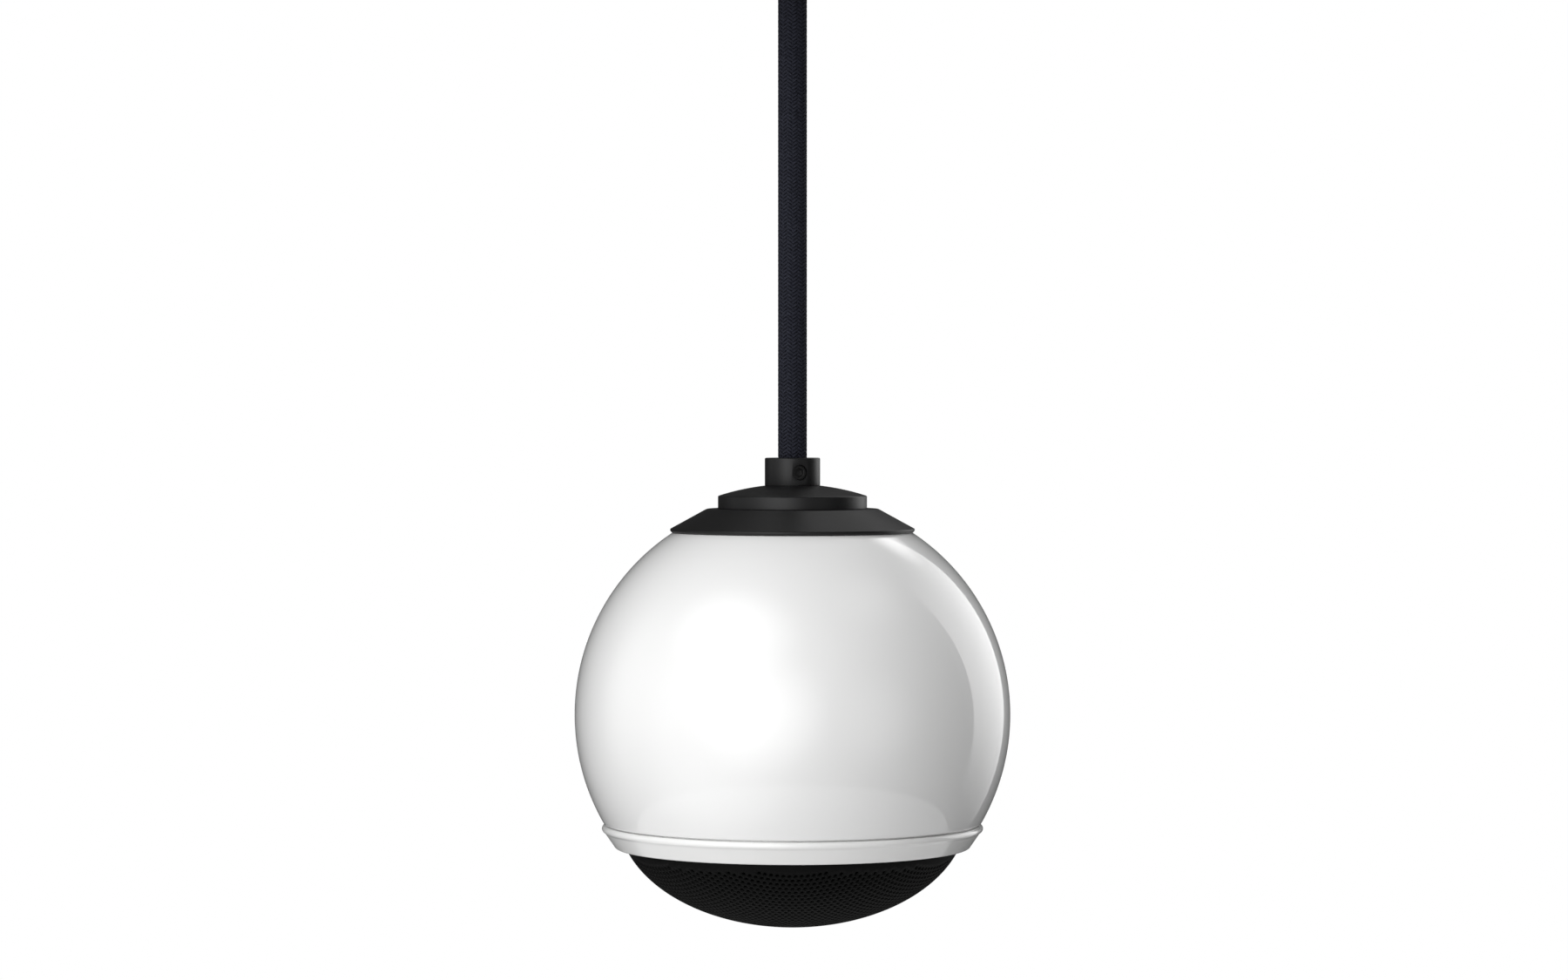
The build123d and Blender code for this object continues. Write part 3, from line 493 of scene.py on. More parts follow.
# %% Lacquer
def make_white_lacquer():
    paint = Finish("white_lacquer")
    peel = paint.noise(1.6, 1)
    dust = paint.cells(2.8).ramp(0.0, 0.05)
    cloud = paint.noise(30, 1)
    tint = paint.between(cloud, (0.795, 0.797, 0.795), (0.81, 0.81, 0.806))
    return paint.surface(
        tint,
        0.34 + peel * 0.05,
        peel * 0.9 + dust * 0.1,
        1.6,
        coat_weight=1.0,
        coat_roughness=0.04,
        coat_ior=1.5,
        specular_ior_level=0.35,
    )


finishes["white_lacquer"] = make_white_lacquer()

# %% Spin the shell
ball_z = -204.0
ball_radius = 51.0
shell_wall = 1.2
mouth_z = -229.6
mouth_radius = sqrt(ball_radius**2 - (ball_z - mouth_z) ** 2)
hole_radius = 19.0
hole_z = ball_z + sqrt(ball_radius**2 - hole_radius**2)
inner_radius = ball_radius - shell_wall
lip_z = mouth_z + shell_wall
lip_radius = 37.01
inner_top = (hole_radius, ball_z + sqrt(inner_radius**2 - hole_radius**2))
inner_foot_radius = sqrt(inner_radius**2 - (ball_z - lip_z) ** 2)


def sweep(a, b, centre=(0, ball_z)):
    """Degrees from point a up to point b about a centre."""
    turn = atan2(b[1] - centre[1], b[0] - centre[0]) - atan2(a[1] - centre[1], a[0] - centre[0])
    return turn * 180 / pi


outer_foot = (mouth_radius, mouth_z)
outer_up = sweep(outer_foot, (hole_radius, hole_z))
inner_down = sweep(inner_top, (inner_foot_radius, lip_z))
outside = arc(outer_foot, (0, ball_z), outer_up, 90)
inside = arc(inner_top, (0, ball_z), inner_down, 60)
shell_outline = [*outside, *inside, (lip_radius, lip_z), (lip_radius, mouth_z)]
shell_mesh = turned(shell_outline, [(0.5, 5, [0])])
hand_over(shell_mesh, "ball_shell", "pendant", "white_lacquer", ["shell"], even=True)

# %% [markdown]
# ## Trim ring
# A moulded ring in the same white closes the mouth. A fine shadow gap parts it from the
# ball, then comes a small round bead, and a band that tapers down to the grille. The bead
# is what gives the bright line above the band in the picture. It is plastic, so it has no
# orange peel: its gloss is even, with faint flow marks.


# %% Moulded gloss
def make_white_moulding():
    plastic = Finish("white_moulding")
    flow = plastic.noise(6, 2, (1, 1, 0.3))
    fine = plastic.noise(0.5, 1)
    tint = plastic.between(flow, (0.79, 0.79, 0.783), (0.81, 0.81, 0.805))
    return plastic.surface(
        tint, 0.15 + fine * 0.06, fine * 0.6 + flow * 0.4, 0.9, coat_weight=0.4, coat_roughness=0.06
    )


finishes["white_moulding"] = make_white_moulding()

# %% Spin the trim ring
shadow_gap = 0.2
bead_radius = 0.85
trim_foot_z = mouth_z - 5.6
trim_ledge_z = mouth_z - 3.0
trim_bore = mouth_radius - 2.2
bead_z = mouth_z - shadow_gap - bead_radius
bead_centre = (mouth_radius - 0.31, bead_z)
shoulder = mouth_radius - 1.0
band_top = mouth_radius - 0.2
band_foot = mouth_radius - 2.65
trim_lip = band_foot - 2.1
bead = arc((bead_centre[0], bead_z + bead_radius), bead_centre, -150, 14)
trim_outline = [
    *bead,
    (band_top, bead_z - 1.0),
    (band_foot, trim_foot_z),
    (trim_lip, trim_foot_z),
    (trim_lip, trim_ledge_z),
    (trim_bore, trim_ledge_z),
    (trim_bore, mouth_z),
    (shoulder, mouth_z),
    (shoulder, mouth_z - shadow_gap),
]
corner = len(bead)
trim_rounds = [(0.22, 4, [corner]), (0.42, 6, [corner + 1]), (0.2, 4, [corner + 2])]
trim_mesh = turned(trim_outline, trim_rounds)
hand_over(trim_mesh, "mouth_trim", "pendant", "white_moulding", ["trim_ring"], even=True)

# %% [markdown]
# ## Grille
# The grille is a steel sheet, punched with a fine triangular grid of holes and pressed into
# a dome. Nearly three thousand holes could be painted with an Alpha pattern, but then the
# sheet would have no thickness, and the driver behind could not be seen through it as it
# really can be from below. So the holes are cut. They stop just short of the skirt, where
# both walls of the dome stand so steep that a level look would go right through them.
#
# A square grid of vertices is sheared into triangles. Bevelling each vertex opens a small
# face there, whose rim is pushed out to a circle and whose face is deleted: a hole. Then the
# flat sheet is pressed: each vertex keeps its bearing, and its distance from the middle
# becomes the distance along the dome.

# %% Measure the dome
skirt_radius = trim_lip - 0.2
dome_wide = skirt_radius + 1.8
dome_deep = 26.3
dome_z = mouth_z + 2.2
sheet = 0.8
flange_z = mouth_z - 2.2 - sheet
steps_per_half_turn = 1400
dome_path = [(0.0, 0.0, dome_z - dome_deep)]
while dome_path[-1][1] < skirt_radius:
    step = len(dome_path) * pi / steps_per_half_turn
    r, z = dome_wide * sin(step), dome_z - dome_deep * cos(step)
    far, last_r, last_z = dome_path[-1]
    dome_path.append((far + sqrt((r - last_r) ** 2 + (z - last_z) ** 2), r, z))
skirt_foot = dome_path[-1]
print("from the middle to the skirt it is", round(skirt_foot[0], 2), "mm along the dome")


def on_dome(far):
    """Radius and height of the place this far from the middle, along dome and skirt."""
    if far >= skirt_foot[0]:
        return skirt_radius, skirt_foot[2] + far - skirt_foot[0]
    low = next(k for k in range(len(dome_path)) if dome_path[k + 1][0] >= far)
    share = (far - dome_path[low][0]) / (dome_path[low + 1][0] - dome_path[low][0])
    a, b = Vector(dome_path[low]), Vector(dome_path[low + 1])
    return a.lerp(b, share)[1:]


# %% Black paint on the sheet
def make_black_mesh():
    powder = Finish("black_mesh")
    grain = powder.noise(0.12, 2)
    patch = powder.noise(12)
    tint = powder.between(patch, (0.0028, 0.0028, 0.0028), (0.0042, 0.0042, 0.0042))
    return powder.surface(tint, 0.5 + grain * 0.25, grain, 9, specular_ior_level=0.05)


finishes["black_mesh"] = make_black_mesh()

# %% Punch the holes
hole_pitch = 1.56
hole_size = 0.48
punched_to = 42.8
rows = 74
flat = bmesh.new()
bmesh.ops.create_grid(flat, x_segments=rows, y_segments=rows, size=rows / 2)
shear = Matrix(((1, 0.5, 0, 0), (0, sqrt(0.75), 0, 0), (0, 0, 1, 0), (0, 0, 0, 1)))
bmesh.ops.transform(flat, matrix=Matrix.Scale(hole_pitch, 4) @ shear, verts=flat.verts)
middle = min(flat.verts, key=lambda v: v.co.length).co.copy()
bmesh.ops.translate(flat, vec=-middle, verts=flat.verts)
sheet_edge = skirt_foot[0] + 1.9
outer_verts = [v for v in flat.verts if v.co.length > sheet_edge]
bmesh.ops.delete(flat, geom=outer_verts, context="VERTS")
bmesh.ops.triangulate(flat, faces=flat.faces[:], quad_method="SHORT_EDGE")
to_punch = [v for v in flat.verts if v.co.length < punched_to and not v.is_boundary]
hole_middles = KDTree(len(to_punch))
for k, vert in enumerate(to_punch):
    hole_middles.insert(vert.co, k)
hole_middles.balance()
print(len(to_punch), "holes in", len(flat.faces), "triangles")
opened = bmesh.ops.bevel(
    flat,
    geom=to_punch,
    offset=hole_size,
    offset_type="OFFSET",
    segments=2,
    profile=0.5,
    affect="VERTICES",
    material=-1,
)
bmesh.ops.delete(flat, geom=opened["faces"], context="FACES")
for vert in flat.verts:
    middle, _, away = hole_middles.find(vert.co)
    if 0 < away < hole_pitch * 0.6:
        vert.co = middle + (vert.co - middle) * (hole_size / away)

# %% Press the sheet into a dome
for vert in flat.verts:
    far = vert.co.length
    r, z = on_dome(far)
    bearing = vert.co / far if far > 0 else vert.co
    vert.co = Vector((bearing.x * r, bearing.y * r, z)) * MM
grille = hand_over(flat, "grille_dome", "pendant", "black_mesh", ["grille"], merged=1e-5)
wall = grille.modifiers.new("sheet", "SOLIDIFY")
wall.thickness = sheet * MM
wall.offset = -1

# %% Spin the skirt and the flange of the grille
flange_radius = mouth_radius - 2.4
skirt_outside = skirt_radius - 0.02
skirt_inside = skirt_radius - sheet
skirt_lap_z = skirt_foot[2] + 0.7
skirt_outline = [
    (skirt_outside, flange_z),
    (flange_radius, flange_z),
    (flange_radius, flange_z + sheet),
    (skirt_inside, flange_z + sheet),
    (skirt_inside, skirt_lap_z),
    (skirt_outside, skirt_lap_z),
]
skirt_mesh = turned(skirt_outline, [(0.3, 3, [3])])
hand_over(skirt_mesh, "grille_flange", "pendant", "black_mesh", ["grille"], even=True)

# %% [markdown]
# ## Cap
# The cap is three black pieces, one on another. The lowest is a moulded ring with a cone
# outside: it sits on the ball and plugs into the ball's top hole. On it lies a turned
# aluminium disc with a low dome, and out of that rises a collar that grips the cord with a
# small socket screw.
#
# Black is never quite black: what the eye reads as black is mostly soft reflections on a
# dark colour. So each finish gets its own roughness and its own fine grain. The moulding
# has the even, sandy texture of a tool that was spark eroded. The aluminium is anodised
# over the fine rings that turning leaves.


# %% Black moulding
def make_black_moulding():
    plastic = Finish("black_moulding")
    sand = plastic.noise(0.16, 2)
    patch = plastic.noise(14)
    tint = plastic.between(patch, (0.004, 0.004, 0.0042), (0.0065, 0.0065, 0.0068))
    return plastic.surface(tint, 0.4 + sand * 0.12, sand, 5, specular_ior_level=0.28)


# %% Black anodised aluminium
def make_black_aluminium():
    metal = Finish("black_satin_aluminium")
    x, y, z = metal.axes()
    out = metal.maths("SQRT", x * x + y * y)
    rings = (out * 5 + metal.noise(2) * 0.6).wave() * 0.5 + (z * 6).wave() * 0.5
    blast = metal.noise(0.1, 2)
    tint = metal.between(blast, (0.004, 0.004, 0.0042), (0.007, 0.007, 0.0075))
    rough = 0.36 + blast * 0.1 + rings * 0.04
    return metal.surface(tint, rough, rings * 0.4 + blast * 0.6, 2.2, specular_ior_level=0.3)


# %% Black oxide on screws
def make_black_screw():
    steel = Finish("black_screw")
    bite = steel.noise(0.3, 3)
    tint = steel.between(bite, (0.0035, 0.0035, 0.0038), (0.009, 0.0088, 0.0085))
    return steel.surface(tint, 0.34 + bite * 0.2, bite, 4, specular_ior_level=0.25)


finishes["black_moulding"] = make_black_moulding()
finishes["black_satin_aluminium"] = make_black_aluminium()
finishes["black_screw"] = make_black_screw()

# %% Spin the seat ring
seat_radius = 28.64
under_ball = ball_radius + 0.05
seat_cover = 0.83
seat_ledge = 1.07
seat_rim = 0.9
spigot_hole = 5.1
undercut = 0.45
foot_radius = seat_radius - undercut
seat_foot = (foot_radius, ball_z + sqrt(under_ball**2 - foot_radius**2))
seat_top_z = hole_z + seat_cover
plug_radius = hole_radius - 0.1
plug_z = seat_top_z - 4.5
seat_root = (plug_radius, ball_z + sqrt(under_ball**2 - plug_radius**2))
under_seat = arc(seat_root, (0, ball_z), sweep(seat_root, seat_foot), 12)
seat_outline = [
    *under_seat,
    (seat_radius, seat_foot[1] + undercut),
    (seat_radius, seat_foot[1] + seat_rim),
    (hole_radius + seat_ledge, seat_top_z),
    (spigot_hole, seat_top_z),
    (spigot_hole, plug_z),
    (plug_radius, plug_z),
]
foot_at = len(under_seat) - 1
seat_rounds = [(0.1, 2, [foot_at + 1]), (0.15, 3, [foot_at + 2]), (0.31, 5, [foot_at + 3])]
seat_mesh = turned(seat_outline, seat_rounds)
hand_over(seat_mesh, "cap_seat", "pendant", "black_moulding", ["seat_ring"], even=True)

# %% Spin the disc
disc_radius = 17.45
disc_rise = 2.4
disc_rim_z = seat_top_z + 3.0
disc_top_z = disc_rim_z + disc_rise
collar_radius = 6.48
rise_times_two = disc_rise * 2
dome_middle = disc_rim_z - (disc_radius**2 - collar_radius**2 - disc_rise**2) / rise_times_two
disc_rim = (disc_radius, disc_rim_z)
disc_crown = (collar_radius, disc_top_z)
crown_sweep = sweep(disc_rim, disc_crown, (0, dome_middle))
disc_dome = arc(disc_rim, (0, dome_middle), crown_sweep, 16)
disc_outline = [
    *disc_dome,
    (spigot_hole, disc_top_z),
    (spigot_hole, seat_top_z),
    (disc_radius, seat_top_z),
]
disc_mesh = turned(disc_outline, [(0.24, 4, [0]), (0.15, 2, [len(disc_dome) + 2])])
hand_over(disc_mesh, "cap_disc", "pendant", "black_satin_aluminium", ["top_disc"], even=True)

# %% [markdown]
# The collar has a hole in its side for the screw. A lathe can't make that, so the turned
# collar is drilled with a Boolean modifier, whose result becomes the mesh. Then each sharp
# edge is broken with a small bevel, as a file or a countersink leaves it.


# %% Break the sharp edges
def soften(mesh, width, sharper_than=38):
    """Bevels every edge whose faces meet at more than so many degrees."""
    sharp = [e for e in mesh.edges if e.calc_face_angle(0) > radians(sharper_than)]
    bmesh.ops.bevel(
        mesh,
        geom=sharp,
        offset=width * MM,
        offset_type="OFFSET",
        segments=2,
        profile=0.5,
        affect="EDGES",
        clamp_overlap=True,
        material=-1,
    )


def grub_line(height):
    """Matrix whose z runs out along the screw, 16 degrees to the right of the front."""
    turn = Matrix.Rotation(radians(16), 4, "Z") @ Matrix.Rotation(radians(90), 4, "X")
    return Matrix.Translation((0, 0, height * MM)) @ turn


# %% Drill a mesh
drill_length = 8
drill_middle = 5.2


def drilled(mesh, radius, place):
    """The mesh with a hole of this radius, drilled along the z of a place."""
    holder = bpy.data.objects.new("blank", bpy.data.meshes.new("blank"))
    drill = bpy.data.objects.new("drill", bpy.data.meshes.new("drill"))
    tool = bmesh.new()
    middle = place @ Matrix.Translation((0, 0, drill_middle * MM))
    radii = {"radius1": radius * MM, "radius2": radius * MM}
    depth = drill_length * MM
    bmesh.ops.create_cone(tool, cap_ends=True, segments=48, depth=depth, matrix=middle, **radii)
    for source, holds in ((mesh, holder), (tool, drill)):
        bmesh.ops.recalc_face_normals(source, faces=source.faces)
        source.to_mesh(holds.data)
        source.free()
        bpy.context.collection.objects.link(holds)
    cut = holder.modifiers.new("hole", "BOOLEAN")
    cut.object = drill
    cut.solver = "EXACT"
    result = holder.evaluated_get(bpy.context.evaluated_depsgraph_get()).to_mesh()
    out = bmesh.new()
    out.from_mesh(result)
    for holds in (holder, drill):
        bpy.data.objects.remove(holds)
    return out


# %% Turn the collar of a cord grip
collar_height = 6.5
grip_bore = 3.5
spigot_radius = 5.0
grub_rise = 3.1
grub_hole_radius = 1.8


def cord_grip(seat_z, away, spigot_end):
    """A collar on a face at seat_z, away up (1) or down (-1) from it, with its spigot."""
    free_z = seat_z + away * collar_height
    points = [
        (grip_bore, free_z),
        (collar_radius, free_z),
        (collar_radius, seat_z),
        (spigot_radius, seat_z),
        (spigot_radius, spigot_end),
        (grip_bore, spigot_end),
    ]
    blank = turned(points, [(0.29, 5, [1]), (0.12, 2, [0, 2]), (0.3, 1, [4])], 128)
    made = drilled(blank, grub_hole_radius, grub_line(seat_z + away * grub_rise))
    soften(made, 0.12, 50)
    return made


plate_thickness = 1.5
nut_height = 3.0
spigot_show = 1.5
spigot_foot = plug_z - plate_thickness - nut_height - spigot_show
collar_mesh = cord_grip(disc_top_z, 1, spigot_foot)
hand_over(collar_mesh, "cap_collar", "pendant", "black_satin_aluminium", ["cord_collar"])


# %% Make the socket screw
screw_radius = 1.72
screw_length = 2.2
screw_recess = 0.8
socket_half_across = 0.9
socket_depth = 1.0


def socket_screw(height):
    """A short rod whose flat end has a six-sided socket."""
    mesh = bmesh.new()
    socket_radius = socket_half_across / cos(pi / 6) * MM
    bmesh.ops.create_circle(mesh, cap_ends=True, segments=6, radius=socket_radius)
    bmesh.ops.subdivide_edges(mesh, edges=mesh.edges[:], cuts=7)
    floor = next(iter(mesh.faces))
    socket_rim = mesh.edges[:]
    bmesh.ops.create_circle(mesh, cap_ends=False, segments=48, radius=screw_radius * MM)
    outer_rim = [e for e in mesh.edges if not e.link_faces]
    bmesh.ops.bridge_loops(mesh, edges=socket_rim + outer_rim)
    sunk = bmesh.ops.extrude_discrete_faces(mesh, faces=[floor])["faces"][0]
    bmesh.ops.translate(mesh, vec=(0, 0, -socket_depth * MM), verts=sunk.verts[:])
    side = bmesh.ops.extrude_edge_only(mesh, edges=outer_rim)["geom"]
    foot = [v for v in side if isinstance(v, bmesh.types.BMVert)]
    bmesh.ops.translate(mesh, vec=(0, 0, -screw_length * MM), verts=foot)
    bmesh.ops.holes_fill(mesh, edges=[e for e in mesh.edges if e.is_boundary], sides=0)
    bmesh.ops.remove_doubles(mesh, verts=mesh.verts, dist=MM * 1e-3)
    soften(mesh, 0.09)
    face = Matrix.Translation((0, 0, (collar_radius - screw_recess) * MM))
    bmesh.ops.transform(mesh, matrix=grub_line(height) @ face, verts=mesh.verts)
    return mesh


grub_mesh = socket_screw(disc_top_z + grub_rise)
hand_over(grub_mesh, "cap_screw", "pendant", "black_screw", ["collar_grub_screw"])

# %% [markdown]
# ## Ceiling rose
# The picture ends below the ceiling, so the rose is a common one: a drawn steel cup over a
# bent bracket, with the same cord grip turned upside down. The cup is powder coated in
# satin black, which leaves a fine, even orange peel of its own.


# %% Powder coat
def make_powder_coat():
    coat = Finish("black_satin_metal")
    peel = coat.noise(0.7, 1)
    patch = coat.noise(20)
    tint = coat.between(patch, (0.012, 0.012, 0.0125), (0.016, 0.016, 0.0165))
    return coat.surface(tint, 0.38 + peel * 0.06, peel, 6, specular_ior_level=0.5)


finishes["black_satin_metal"] = make_powder_coat()

# %% Spin the cup
rose_radius = 40.0
rose_depth = 26.0
rose_wall = 1.2
cup_floor_z = -rose_depth + rose_wall
cup_inside = rose_radius - rose_wall
cup_outline = [
    (rose_radius, 0),
    (rose_radius, -rose_depth),
    (spigot_hole, -rose_depth),
    (spigot_hole, cup_floor_z),
    (cup_inside, cup_floor_z),
    (cup_inside, 0),
]
cup_mesh = turned(cup_outline, [(4.0, 14, [1]), (2.8, 10, [4]), (0.3, 3, [0, 5])])
hand_over(cup_mesh, "rose_shell", "pendant", "black_satin_metal", ["rose_cup"], even=True)

# %% Make the rose's grip and screw
rose_grip_mesh = cord_grip(-rose_depth, -1, cup_floor_z + nut_height + spigot_show)
hand_over(rose_grip_mesh, "rose_collar", "pendant", "black_satin_aluminium", ["rose_grip"])
rose_screw_mesh = socket_screw(-rose_depth - grub_rise)
hand_over(rose_screw_mesh, "rose_screw", "pendant", "black_screw", ["rose_grub_screw"])

# %% [markdown]
# ## Inside
# The driver, the clamp, the wiring and the terminals are hidden in the picture, but the
# model can be opened. Their solids are right as they are, so they keep their shapes and get
# real finishes: zinc with its faint rainbow, ground ferrite, copper wire, pressed paper,
# resin cloth, foam with its cells.


# %% Zinc plate
def make_zinc():
    zinc = Finish("zinc_steel")
    crystal = zinc.cells(0.8)
    cloud = zinc.noise(5, 3)
    scuff = zinc.noise(0.3, 2, (1, 6, 1))
    tint = zinc.between(cloud, (0.50, 0.53, 0.57), (0.62, 0.60, 0.53))
    rough = 0.28 + crystal * 0.12 + scuff * 0.12
    return zinc.surface(tint, rough, scuff * 0.6 + crystal * 0.4, 4, metallic=1.0)


# %% Ferrite
def make_ferrite():
    ferrite = Finish("ferrite")
    grit = ferrite.noise(0.15, 3)
    ground = ferrite.noise(0.3, 2, (1, 12, 1))
    tint = ferrite.between(grit, (0.022, 0.022, 0.023), (0.06, 0.06, 0.062))
    return ferrite.surface(tint, 0.62 + grit * 0.2, grit * 0.7 + ground * 0.3, 14)


# %% Foams
def make_foam(name, dark, light, cell, microns):
    foam = Finish(name)
    wall = foam.cells(cell)
    dirt = foam.noise(6, 3)
    # The middles of the cells, the pores, are painted darker than the walls between them: painted
    # shade in the hollows.
    tint = foam.between(wall.ramp(0.1, 0.6) * 0.8 + dirt * 0.2, dark, light)
    return foam.surface(tint, 0.88 + dirt * 0.1, wall, microns, sheen_weight=0.2)


# %% Pressed paper and resin cloth
def make_paper():
    paper = Finish("cone_paper")
    fibre = paper.noise(0.35, 4, (1, 1, 3))
    felt = paper.noise(1.5, 3)
    tint = paper.between(fibre * 0.7 + felt * 0.3, (0.018, 0.018, 0.018), (0.06, 0.058, 0.055))
    return paper.surface(tint, 0.8 + fibre * 0.15, fibre * 0.6 + felt * 0.4, 22)


def make_cloth():
    cloth = Finish("spider_cloth")
    x, y, _ = cloth.axes()
    weave = (x * 2.2).wave() * 0.5 + (y * 2.2).wave() * 0.5
    resin = cloth.noise(3, 3)
    tint = cloth.between(resin * 0.5 + weave * 0.5, (0.42, 0.27, 0.06), (0.68, 0.50, 0.17))
    return cloth.surface(tint, 0.55 + weave * 0.3, weave, 60, sheen_weight=0.15)


# %% Rubber and cable insulation
def make_rubber(name, dark, light, roughness, microns):
    rubber = Finish(name)
    bloom = rubber.noise(4, 3)
    grain = rubber.noise(0.12, 2)
    tint = rubber.between(bloom * 0.7 + grain * 0.3, dark, light)
    return rubber.surface(tint, roughness + bloom * 0.12, grain, microns)


# %% Bright metals
def make_bright(name, dark, light, lines, roughness):
    metal = Finish(name)
    _, _, z = metal.axes()
    drawn = (z * lines).wave()
    tarnish = metal.noise(2.5, 4)
    tint = metal.between(tarnish, dark, light)
    rough = roughness + tarnish * 0.18
    return metal.surface(tint, rough, drawn * 0.7 + tarnish * 0.3, 12, metallic=1.0)


# %% Laminate and natural nylon
def make_board():
    board = Finish("strip_board")
    _, y, _ = board.axes()
    layers = (y * 6).wave()
    fibre = board.noise(0.6, 4, (1, 1, 4))
    tint = board.between(fibre * 0.7 + layers * 0.3, (0.17, 0.075, 0.022), (0.34, 0.17, 0.06))
    return board.surface(tint, 0.5 + fibre * 0.2, fibre, 10)


def make_nylon():
    nylon = Finish("natural_moulding")
    flow = nylon.noise(4, 2)
    grain = nylon.noise(0.2, 2)
    tint = nylon.between(flow, (0.66, 0.62, 0.52), (0.76, 0.73, 0.64))
    return nylon.surface(tint, 0.42 + grain * 0.15, grain, 6, subsurface_weight=0.2)


# %% Make the inner finishes
finishes["zinc_steel"] = make_zinc()
finishes["ferrite"] = make_ferrite()
finishes["foam"] = make_foam("foam", (0.05, 0.05, 0.052), (0.27, 0.27, 0.28), 0.9, 300)
finishes["gasket_foam"] = make_foam("gasket_foam", (0.01, 0.01, 0.01), (0.04, 0.04, 0.04), 0.3, 60)
finishes["cone_paper"] = make_paper()
finishes["spider_cloth"] = make_cloth()
finishes["surround_rubber"] = make_rubber(
    "surround_rubber", (0.012, 0.012, 0.012), (0.024, 0.024, 0.024), 0.5, 6
)
finishes["red_core"] = make_rubber("red_core", (0.42, 0.02, 0.015), (0.56, 0.04, 0.03), 0.3, 2)
finishes["black_core"] = make_rubber("black_core", (0.01, 0.01, 0.01), (0.02, 0.02, 0.02), 0.3, 2)
finishes["former_foil"] = make_bright(
    "former_foil", (0.66, 0.66, 0.67), (0.8, 0.8, 0.8), 3, 0.22
)
finishes["copper"] = make_bright("copper", (0.60, 0.24, 0.13), (0.86, 0.42, 0.26), 4.5, 0.2)
finishes["brass"] = make_bright("brass", (0.58, 0.40, 0.16), (0.80, 0.62, 0.32), 2, 0.24)
finishes["strip_board"] = make_board()
finishes["natural_moulding"] = make_nylon()

# %% Put the finishes on the solids that still show
slot_of = {part["node"]: part["material_slot"] for part in frame["record"]["subparts"]}
for node, solid in frame["nodes"].items():
    for place in solid.material_slots:
        place.material = finishes[slot_of[node]]
print(len(finishes), "finishes on", len(frame["nodes"]), "solids")

# %% [markdown]
# Two short leads of bare copper braid hang between the fixed tags and the back of the cone,
# which moves. So a merged copy of their solid is made, and it rides on neither body.

# %% Copy the leads
lead_mesh = bmesh.new()
lead_mesh.from_mesh(frame["nodes"]["tinsel_leads"].data)
leads = hand_over(lead_mesh, "tinsel_braid", None, "copper", ["tinsel_leads"])
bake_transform(leads)

# %% [markdown]
# ## Studio
# The light is a plain product studio. Large soft boxes at the left of the camera make the
# broad highlight on the ball, and small ones lift its sides and the cap. Cloth in front of a
# bulb is brightest in its middle, so each box fades towards its edges and its reflection
# ends in no hard line. One box behind the object at the right fades only along its length:
# it gives the band with a crisp edge near the ball's right rim, because lacquer seen at a
# shallow angle mirrors strongly.
#
# The background is white for the camera and for reflections, and a white ball would melt
# into it. So, as photographers do, dark card stands all round, where the camera doesn't see
# it, and draws a grey line round the ball. A lid of the same card keeps the black cap black.


# %% Aim a soft box
def soft_box(name, azimuth, height, away, size, watts):
    """An area lamp that faces the ball. Azimuth 0 is the camera's side, 90 the right."""
    lamp = bpy.data.lights.new(name, "AREA")
    lamp.shape = "RECTANGLE"
    lamp.size, lamp.size_y = size
    lamp.energy = watts
    holder = bpy.data.objects.new(name, lamp)
    bpy.context.collection.objects.link(holder)
    turn, lift = radians(azimuth), radians(height)
    out = Vector((sin(turn) * cos(lift), -cos(turn) * cos(lift), sin(lift)))
    holder.location = ball_centre + out * away
    holder.rotation_euler = out.to_track_quat("Z", "Y").to_euler()
    holder.visible_camera = False
    return holder


# %% Let a soft box fade towards its edges
def fade(holder, sides=True):
    """Makes a lamp dim towards its ends, and its sides too, as cloth in front of a bulb is."""
    holder.data.use_nodes = True
    holder.data.node_tree.nodes.clear()
    cloth = Tone(holder.data.node_tree)
    across = cloth.node("SeparateXYZ", values={0: cloth.node("NewGeometry", result="Parametric")})
    u, v = [Tone(cloth.tree, out) - 0.5 for out in across.socket.node.outputs][:2]
    away = u * u + v * v if sides else v * v
    left = cloth.maths("MAXIMUM", 1 - away * 4, 0.0)
    glow = cloth.node("Emission", values={"Color": (1, 1, 1, 1), "Strength": left * left})
    cloth.node("OutputLight", values={"Surface": glow})


# %% Place the lamps
fade(soft_box("rim_light", 128, 12, 1.3, (0.94, 2.2), 13.8), sides=False)
for name, azimuth, height, size, watts in (
    ("key_light", -17, 4, (2.0, 1.8), 34),
    ("side_light", -50, 5, (2.6, 2.4), 18.5),
    ("high_light", -40, 45, (1.9, 1.2), 21.5),
    ("low_light", -45, -38, (2.4, 1.2), 8.8),
    ("left_light", -100, 10, (1.0, 1.8), 3.9),
    ("right_light", 45, 0, (1.2, 1.2), 3.4),
    ("far_light", 70, 55, (1.0, 0.8), 1.7),
    ("cap_light", 150, 42, (0.6, 0.5), 2.4),
    ("top_light", 172, 60, (0.8, 0.5), 4.0),
):
    fade(soft_box(name, azimuth, height, 1.2, size, watts))

# %% Tell seen rays from light
def seen_rays(tone):
    """1 for what the camera sees, straight, in a mirror or through glass, and 0 for light."""
    rays = tone.node("LightPath").socket.node.outputs
    kinds = ("Is Camera Ray", "Is Glossy Ray", "Is Transmission Ray")
    camera_ray, glossy_ray, through_ray = [Tone(tone.tree, rays[kind]) for kind in kinds]
    return tone.maths("MAXIMUM", tone.maths("MAXIMUM", camera_ray, glossy_ray), through_ray)


# %% Light the world
world = bpy.data.worlds.new("studio")
world.use_nodes = True
world.node_tree.nodes.clear()
air = Tone(world.node_tree)
dim = air.node("Background", values={"Color": (1, 1, 1, 1), "Strength": 0.44})
white = air.node("Background", values={"Color": (1, 1, 1, 1), "Strength": 1.0})
both = air.node("MixShader", values={0: seen_rays(air), 1: dim, 2: white})
air.node("OutputWorld", values={"Surface": both})
bpy.context.scene.world = world

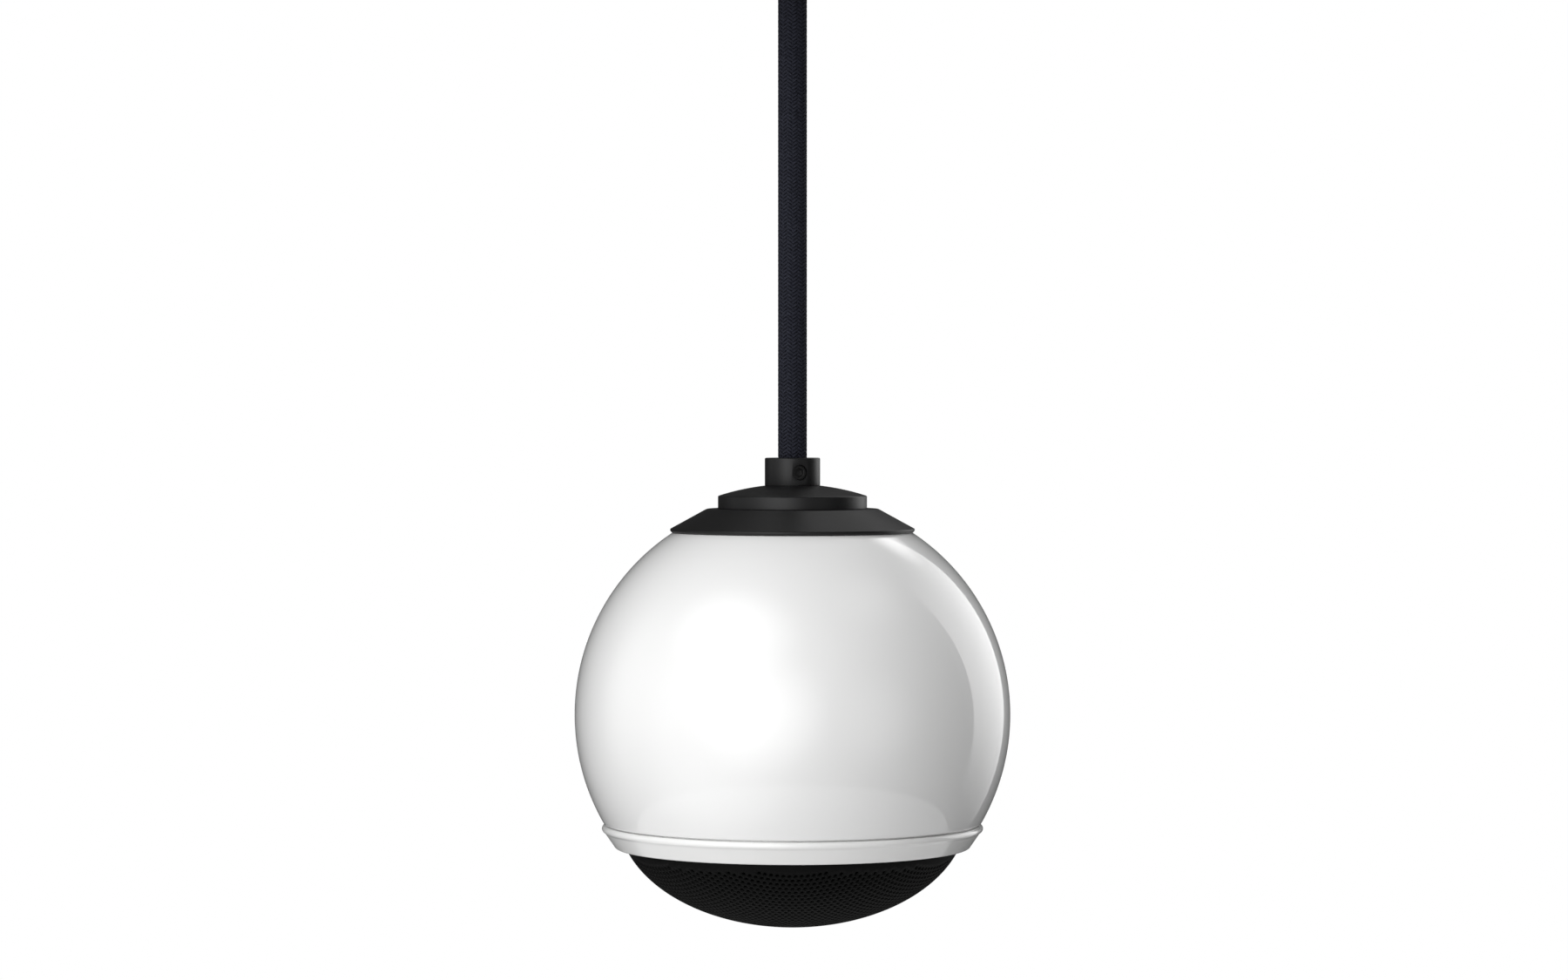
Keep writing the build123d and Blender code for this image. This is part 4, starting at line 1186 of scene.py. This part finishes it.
# %% Stand the cards
card_level = 0.07
card_radius = 2.4
card_foot, card_top = -2.6, 2.2


def card(name, mesh):
    """A stage piece of an even grey that the camera doesn't see."""
    paper = bpy.data.materials.new(name)
    paper.use_nodes = True
    paper.node_tree.nodes.clear()
    grey = Tone(paper.node_tree)
    color = (card_level, card_level, card_level, 1)
    glow = grey.node("Emission", values={"Color": color, "Strength": 1.0})
    grey.node("OutputMaterial", values={"Surface": glow})
    data = bpy.data.meshes.new(name)
    mesh.to_mesh(data)
    mesh.free()
    data.materials.append(paper)
    made = bpy.data.objects.new(name, data)
    bpy.context.collection.objects.link(made)
    made.visible_camera = False
    made.visible_shadow = False
    return made


wall_mesh = bmesh.new()
upright = [wall_mesh.verts.new((0, card_radius, z)) for z in (card_foot, card_top)]
wall_mesh.edges.new(upright)
bmesh.ops.spin(
    wall_mesh,
    geom=wall_mesh.verts[:] + wall_mesh.edges[:],
    cent=(0, 0, 0),
    axis=(0, 0, 1),
    angle=2 * pi,
    steps=48,
    use_merge=True,
)
card("grey_card", wall_mesh)
lid_mesh = bmesh.new()
bmesh.ops.create_circle(
    lid_mesh,
    cap_ends=True,
    segments=48,
    radius=card_radius,
    matrix=Matrix.Translation((0, 0, card_top)),
)
card("lid_card", lid_mesh).visible_diffuse = False

# %% [markdown]
# ## Floor
# A pale floor lies well below the speaker, out of the picture. It sends a little light back
# up under the ball, and it keeps the soft shadow. Its own glow, which only the camera and
# reflections see, makes it as pale as the background without more light on the object.

# %% Lay the floor
floor_radius = 2.0
floor_z = -1.5
floor_glow = 0.7
pale = bpy.data.materials.new("pale_floor")
pale.use_nodes = True
pale.node_tree.nodes.clear()
ground = Tone(pale.node_tree)
matt = ground.node("BsdfDiffuse", values={"Color": (0.85, 0.85, 0.85, 1)})
glow = ground.node("Emission", values={"Color": (1, 1, 1, 1), "Strength": 1.0})
share = seen_rays(ground) * floor_glow
brightened = ground.node("MixShader", values={0: share, 1: matt, 2: glow})
ground.node("OutputMaterial", values={"Surface": brightened})
floor_mesh = bmesh.new()
bmesh.ops.create_circle(
    floor_mesh,
    cap_ends=True,
    segments=96,
    radius=floor_radius,
    matrix=Matrix.Translation((0, 0, floor_z)),
)
floor_data = bpy.data.meshes.new("floor")
floor_mesh.to_mesh(floor_data)
floor_mesh.free()
floor_data.materials.append(pale)
floor = bpy.data.objects.new("floor", floor_data)
bpy.context.collection.objects.link(floor)
